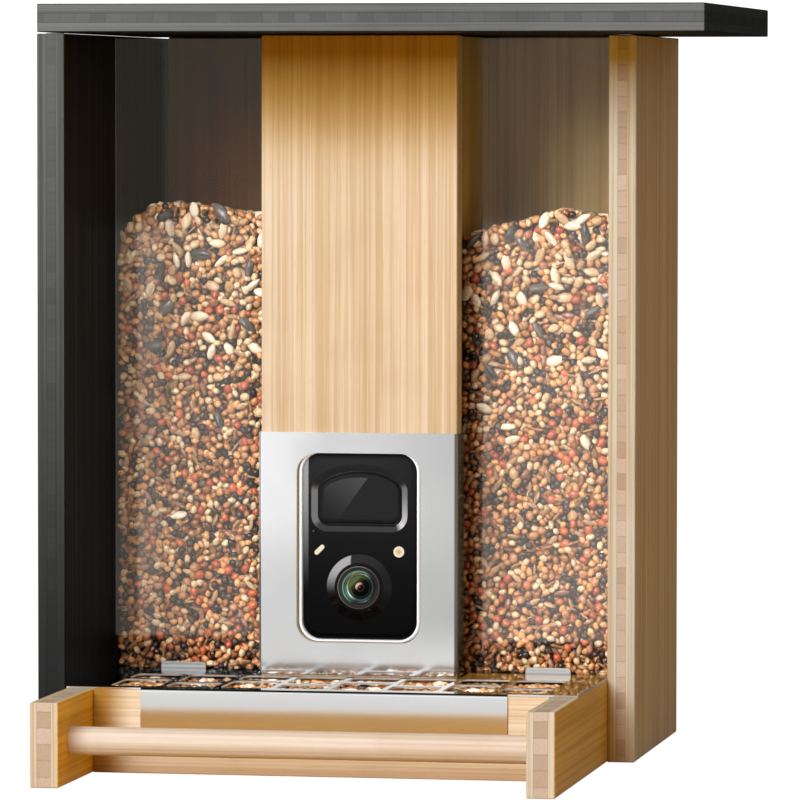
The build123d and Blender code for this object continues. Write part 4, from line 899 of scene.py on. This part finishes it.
def scatter(width, height, inside, radii, tries, rise):
    """Spots in a sheet that keep their distance from each other, the large grains first."""
    near_cells = range(-2, 3)
    found = []
    grid = {}
    for kind, radius in enumerate(radii):
        for _ in range(tries[kind]):
            x, y = rng.uniform(0, width), height * rng.uniform(0, 1) ** (rise if kind < 3 else 1.0)
            if not inside(x, y, radius) or KINDS[kind][0] == "dark_seed" and not in_cluster(x, y):
                continue
            home = (int(x // CELL), int(y // CELL))
            near = [
                other
                for i in near_cells
                for j in near_cells
                for other in grid.get((home[0] + i, home[1] + j), ())
            ]
            if any((x - a) ** 2 + (y - b) ** 2 < (CLOSENESS * (radius + r)) ** 2 for a, b, r in near):
                continue
            grid.setdefault(home, []).append((x, y, radius))
            found.append((kind, x, y))
    return found


# Kinds of grain: name, size, and the radius they keep free in millimetres
KINDS = (
    ("sunflower", SUNFLOWER, 3.4),
    ("kernel", KERNEL, 2.9),
    ("corn", CORN, 2.3),
    ("milo", MILO, 1.95),
    ("husk", HUSK, 1.7),
    ("dark_seed", DARK_SEED, 1.55),
    ("millet", MILLET, 1.52),
)


def seed_coats(place, hidden):
    """A coat for each kind of grain; hidden grains take a painted dark reflection tone in the polished plate, and the
    tray's grains are brightened as painted light.
    """
    tones = {
        "millet": ((0.80, 0.39, 0.130), (0.30, 0.105, 0.028), 0.25, (0.74, 0.54, 0.29), 0.26),
        "milo": ((0.66, 0.15, 0.04), (0.38, 0.065, 0.02), 0.28, (0.52, 0.23, 0.09), 0.5),
        "husk": ((0.52, 0.32, 0.14), (0.34, 0.17, 0.06), 0.4, (0.28, 0.11, 0.04), 0.3),
        "corn": ((0.80, 0.54, 0.27), (0.48, 0.26, 0.10), 0.35, (0.38, 0.12, 0.05), 0.15),
        "dark_seed": ((0.065, 0.03, 0.018), (0.028, 0.013, 0.008), 0.25, (0.14, 0.075, 0.035), 0.2),
        "kernel": ((1.0, 0.86, 0.62), (0.74, 0.55, 0.32), 0.4, (0.62, 0.40, 0.20), 0.3),
        "sunflower": ((0.13, 0.105, 0.08), (0.055, 0.045, 0.037), 0.35, (0.22, 0.17, 0.11), 0.2),
    }
    # Tray grains are brightened as painted light against the shade under the plate; the hopper grains get a dimmer,
    # warmer gain
    gain = (0.80, 0.71, 0.60) if hidden else (1.4, 1.5, 1.5)

    def lit(tone):
        return tuple(channel * share for channel, share in zip(tone, gain))

    return {
        kind: grain_coat(f"{place}_coat_{kind}", lit(light), lit(dark), rough, lit(odd), share, hidden)
        for kind, (light, dark, rough, odd, share) in tones.items()
    }


# How far grains are drawn out to a point, and how far they tilt out of their sheet
POINTED = (0.5, 0.2)
PLUMP = (0.0, 0.4)


def fill_sheet(prefix, width, height, inside, to_space, facing, coats, counts, depth, layers, rise=1.0):
    """Layers of mixed grains over a sheet, each layer deeper; a rise under 1 brings large grains to the top."""
    spots = {kind: [] for kind, _, _ in KINDS}
    for layer in range(layers):
        tries = [int(count * (1 if layer == 0 or kind > 2 else 0.4)) for kind, count in enumerate(counts)]
        found = scatter(width, height, inside, [radius for _, _, radius in KINDS], tries, rise)
        for kind, x, y in found:
            name, size, _ = KINDS[kind]
            away = size[2] + 0.1 + layer * depth + rng.uniform(0, 0.35) * depth * 0.5
            spots[name].append(to_space(x, y, away))
    for name, size, _ in KINDS:
        if spots[name]:
            form, tilt = POINTED if name in ("sunflower", "kernel", "husk") else PLUMP
            grains(f"{prefix}_{name}", size, spots[name], facing, coats[name], form, tilt)


# Tries for each kind of grain, in the order of KINDS; depth of a layer; how far large grains gather at the top
HOPPER_TRIES = (12, 64, 100, 190, 230, 3000, 30000)
HEAP_TRIES = (4, 34, 40, 50, 50, 160, 4000)
TRAY_TRIES = (14, 150, 140, 160, 160, 260, 20000)
LAYER_DEPTH = 2.2
TRAY_LAYER = 2.4
HOPPER_RISE = 0.2

# Axes of a sheet of grains that stands behind a pane, and of one that lies flat
UPRIGHT = ((1, 0, 0), (0, 0, -1), (0, 1, 0))
LEVEL = ((1, 0, 0), (0, 1, 0), (0, 0, 1))

# The seed's top line behind each pane, how far grains lie on its heap, and how far the heap falls to the rear
HEAP_REACH = 34.0
HEAP_FALL = 7.0
LEFT_SURFACE = ((0.0, 237.8), (7.0, 247.6), (16.5, 254.7), (26.8, 255.6), (47.7, 253.6), (58.2, 251.6), (79.0, 248.8))
RIGHT_SURFACE = ((0.0, 240.4), (1.3, 240.9), (46.6, 253.1), (69.9, 250.0), (71.8, 249.6))


def seed_bulk(name, corners_low, corners_high, surface, coat):
    """Body of the seed behind the front grains: a heap with a lumpy front and top."""
    steps, front_rows, top_rows = 40, 60, 30
    (x0, y0, z0), (x1, y1, _) = corners_low, corners_high
    heights = np.interp(np.linspace(0, x1 - x0, steps + 1), *zip(*surface))
    across = [x0 + (x1 - x0) * s / steps for s in range(steps + 1)]
    rows = [
        [(x, y0 + rng.uniform(0, 1.2), z0 + (top - z0) * r / front_rows + rng.uniform(-0.5, 0.1))
         for x, top in zip(across, heights)]
        for r in range(front_rows + 1)
    ]
    rows += [
        [(x, y0 + (y1 - y0) * r / top_rows, top - HEAP_FALL * r / top_rows + rng.uniform(-0.8, 0.4))
         for x, top in zip(across, heights)]
        for r in range(1, top_rows + 1)
    ]
    seed_quilt(name, rows, coat)


def bulk_coat():
    """Seed seen deep between the front grains: small grains drawn in the shader, darker than the front grains as
    painted shade, with painted shade in the gaps between them.
    """
    material, tree, surface = new_material("coat_seed_bulk", Roughness=0.7)
    vector = millimetre_vector(tree)
    cells = put(tree, "ShaderNodeTexVoronoi", {"feature": "F1"}, Vector=vector, Scale=0.36)
    tone = put(tree, "ShaderNodeSeparateColor", Color=cells.outputs["Color"]).outputs["Red"]
    colour = blend_colour(tree, tone, (0.10, 0.03, 0.01), (0.36, 0.15, 0.045))
    # Painted shade in the gaps between the grains
    colour = blend_colour(tree, remap(tree, cells.outputs["Distance"], 0.3, 0.8), colour, (0.03, 0.015, 0.01))
    drive(tree, surface, Base_Color=painted_mirror_tone(tree, colour))
    bumped(tree, surface, minus(tree, 1.0, cells.outputs["Distance"]), 1.2, 1.0)
    return material


def fill_hoppers(coats, bulk):
    """Seed behind both panes."""
    pane_back = corner("left_hopper_window", 1, True)
    rear = corner("back_board", 1, False)
    foot = corner("left_perch_rail", 2, True) + 1
    bays = {
        "left": (corner("left_side_board", 0, True), corner("left_partition", 0, False), LEFT_SURFACE),
        "right": (corner("right_partition", 0, True), corner("right_side_board", 0, False), RIGHT_SURFACE),
    }
    for side, (low, high, surface) in bays.items():
        width = high - low
        run, rise = zip(*surface)

        def inside(x, z, radius):
            top = np.interp(x, run, rise) - foot
            return radius < x < width - radius and 0 < z < top - radius * 0.6

        def to_space(x, z, away):
            return (low + x, pane_back + away, foot + z)

        fill_sheet(side + "_hopper", width, max(rise) - foot, inside, to_space, UPRIGHT, coats,
                   HOPPER_TRIES, LAYER_DEPTH, 2, HOPPER_RISE)
        heap_top(side, low, width, pane_back, rear, run, rise, coats)
        seed_bulk(side + "_hopper_bulk", (low + 0.3, pane_back + 5.0, foot), (high - 0.3, rear - 0.3, 0), surface, bulk)


def heap_top(side, low, width, pane_back, rear, run, rise, coats):
    """Grains that lie on the heap's top behind the pane."""
    def inside(x, y, radius):
        return radius < x < width - radius and y > 2

    def to_space(x, y, away):
        drop = HEAP_FALL * y / (rear - pane_back) + 2.6
        return (low + x, pane_back + 2.5 + y, np.interp(x, run, rise) - drop + away)

    fill_sheet(side + "_heap", width, HEAP_REACH, inside, to_space, LEVEL, coats, HEAP_TRIES, LAYER_DEPTH, 1)


def fill_tray(coats, bulk):
    """Seed under the slots of the plate."""
    low, high = corner("left_perch_rail", 0, True), corner("right_perch_rail", 0, False)
    front = corner("tray_apron", 1, True)
    rear = corner("column_front_board", 1, False) - 0.5
    top = corner("left_perch_rail", 2, True) - 0.6
    width, depth = high - low, rear - front

    def inside(x, y, radius):
        return radius < x < width - radius and radius < y < depth - radius

    def to_space(x, y, away):
        return (low + x, front + y, top - away)

    fill_sheet("tray", width, depth, inside, to_space, LEVEL, coats, TRAY_TRIES, TRAY_LAYER, 1)
    steps, lines = 60, 20
    rows = [
        [(low + width * s / steps, front + depth * r / lines, top - 3.4 - rng.uniform(0, 1.0))
         for s in range(steps + 1)]
        for r in range(lines + 1)
    ]
    seed_quilt("tray_bulk", rows, bulk)


# Floor, light and camera


def aim(thing, target):
    """Points a light's or camera's axis at a place."""
    direction = Vector(target) - thing.location
    thing.rotation_euler = direction.to_track_quat("-Z", "Y").to_euler()


def softbox(name, place, target, size, power, colour=(1, 1, 1)):
    """Square area light."""
    data = bpy.data.lights.new(name, "AREA")
    data.shape = "RECTANGLE"
    data.size, data.size_y = size
    data.energy = power
    data.color = colour
    lamp = bpy.data.objects.new(name, data)
    lamp.location = place
    bpy.context.collection.objects.link(lamp)
    aim(lamp, target)
    return lamp


def floor_shader(name):
    """Pale floor: white to the eye and in reflections from the front, a plain matt surface for the light."""
    material, tree, surface = new_material(name, Roughness=0.8, Base_Color=FLOOR_TONE)
    path = put(tree, "ShaderNodeLightPath").outputs
    place = parted(tree, put(tree, "ShaderNodeNewGeometry").outputs["Position"])
    mirrored = white_glow(tree, remap(tree, place["Y"], 0.3, -0.8, REAR_GLOW, 1.0))
    glossy = blend_shader(tree, path["Is Glossy Ray"], surface.outputs[0], mirrored)
    share = times(tree, path["Is Camera Ray"], FLOOR_SHARE)
    show(tree, blend_shader(tree, share, glossy, white_glow(tree, FLOOR_GLOW)))
    return material


def flat_piece(name, low, high, material):
    """Level rectangle between two corners."""
    points = [(x, y, 0) for x, y in (low, (high[0], low[1]), high, (low[0], high[1]))]
    return new_piece(name, points, [(0, 1, 2, 3)], material)


def gloss_card(name, place, target, size, glow, turn=0.0):
    """Bright card that only polished surfaces see, brightest along its upper edge."""
    material = bpy.data.materials.new(name)
    material.use_nodes = True
    tree = material.node_tree
    x, y = size[0] / 2, size[1] / 2
    height = parted(tree, put(tree, "ShaderNodeTexCoord").outputs["Object"])["Y"]
    show(tree, white_glow(tree, remap(tree, height, -y, y, 0.0, glow)))
    card = flat_piece(name, (-x, -y), (x, y), material)
    card.location = place
    aim(card, target)
    card.rotation_euler.rotate_axis("Z", math.radians(turn))
    card.visible_camera = card.visible_diffuse = card.visible_shadow = False
    card.visible_transmission = card.visible_volume_scatter = False
    card.light_linking.receiver_collection = GLOSS_PIECES


def studio():
    """Pale floor, white surroundings and soft light."""
    floor = flat_piece("pale_floor", (-FLOOR_SIDE, FLOOR_FRONT), (FLOOR_SIDE, FLOOR_BACK),
                       floor_shader("pale_floor_paint"))
    studio_world()
    target = Vector((0, 0, 0.17))
    ray = Vector((KEY_RIGHT, 1, -KEY_DOWN)).normalized()
    key = softbox("key", target - ray * KEY_DISTANCE, target, (KEY_SIDE, KEY_SIDE), KEY_POWER, KEY_TINT)
    key.visible_glossy = False
    sparkle = softbox("seed_sparkle", target - ray * KEY_DISTANCE, target, (SPARKLE_SIDE, SPARKLE_SIDE), SPARKLE_POWER)
    sparkle.visible_diffuse = False
    sparkle.light_linking.receiver_collection = SEED_PIECES
    for card in GLOSS_CARDS:
        gloss_card(*card)


def studio_world():
    """White surroundings for the eye, white in front for reflections, and a dimmer warm light in the shade."""
    world = bpy.data.worlds.new("studio_white")
    world.use_nodes = True
    tree = world.node_tree
    path = put(tree, "ShaderNodeLightPath").outputs
    toward = parted(tree, put(tree, "ShaderNodeTexCoord").outputs["Generated"])
    front = remap(tree, toward["Y"], 0.25, -0.45, REAR_GLOW, 1.0)
    glow = plus(tree, front, remap(tree, toward["X"], -0.55, -0.8, 0.0, SIDE_GLOW))
    shade = blend_colour(tree, path["Is Glossy Ray"], (1.1, 1.1, 1.1), grey(tree, glow))
    bounced = calc(tree, "GREATER_THAN", path["Diffuse Depth"], 0.5)
    around = blend_colour(tree, remap(tree, toward["X"], 0.1, 0.8), AMBIENT, AMBIENT_RIGHT)
    around = blend_colour(tree, remap(tree, toward["Y"], 0.55, 0.9), around, AMBIENT_REAR)
    shade = blend_colour(tree, bounced, shade, around)
    drive(tree, tree.nodes["Background"], Color=shade)
    bpy.context.scene.world = world
    bpy.context.scene.view_settings.view_transform = "Standard"


def photo_camera():
    """Camera at the photograph's place, turn and lens."""
    turn, dip, roll = (math.radians(a) for a in (CAMERA_TURN, CAMERA_DIP, CAMERA_ROLL))
    ahead = Vector((-math.sin(turn) * math.cos(dip), math.cos(turn) * math.cos(dip), -math.sin(dip)))
    right = ahead.cross(Vector((0, 0, 1))).normalized()
    up = right.cross(ahead)
    rolled_right = right * math.cos(roll) + up * math.sin(roll)
    rolled_up = up * math.cos(roll) - right * math.sin(roll)
    data = bpy.data.cameras.new("photo_camera")
    data.lens = CAMERA_LENS
    data.sensor_width = CAMERA_SENSOR
    data.clip_end = 30
    camera = bpy.data.objects.new("photo_camera", data)
    columns = Matrix((rolled_right, rolled_up, -ahead)).transposed().to_4x4()
    camera.matrix_world = Matrix.Translation(CAMERA_PLACE) @ columns
    bpy.context.collection.objects.link(camera)
    bpy.context.scene.camera = camera


dress_boards()
dress_fittings()
bulk = bulk_coat()
fill_hoppers(seed_coats("hopper", True), bulk)
fill_tray(seed_coats("tray", False), bulk)
studio()
photo_camera()
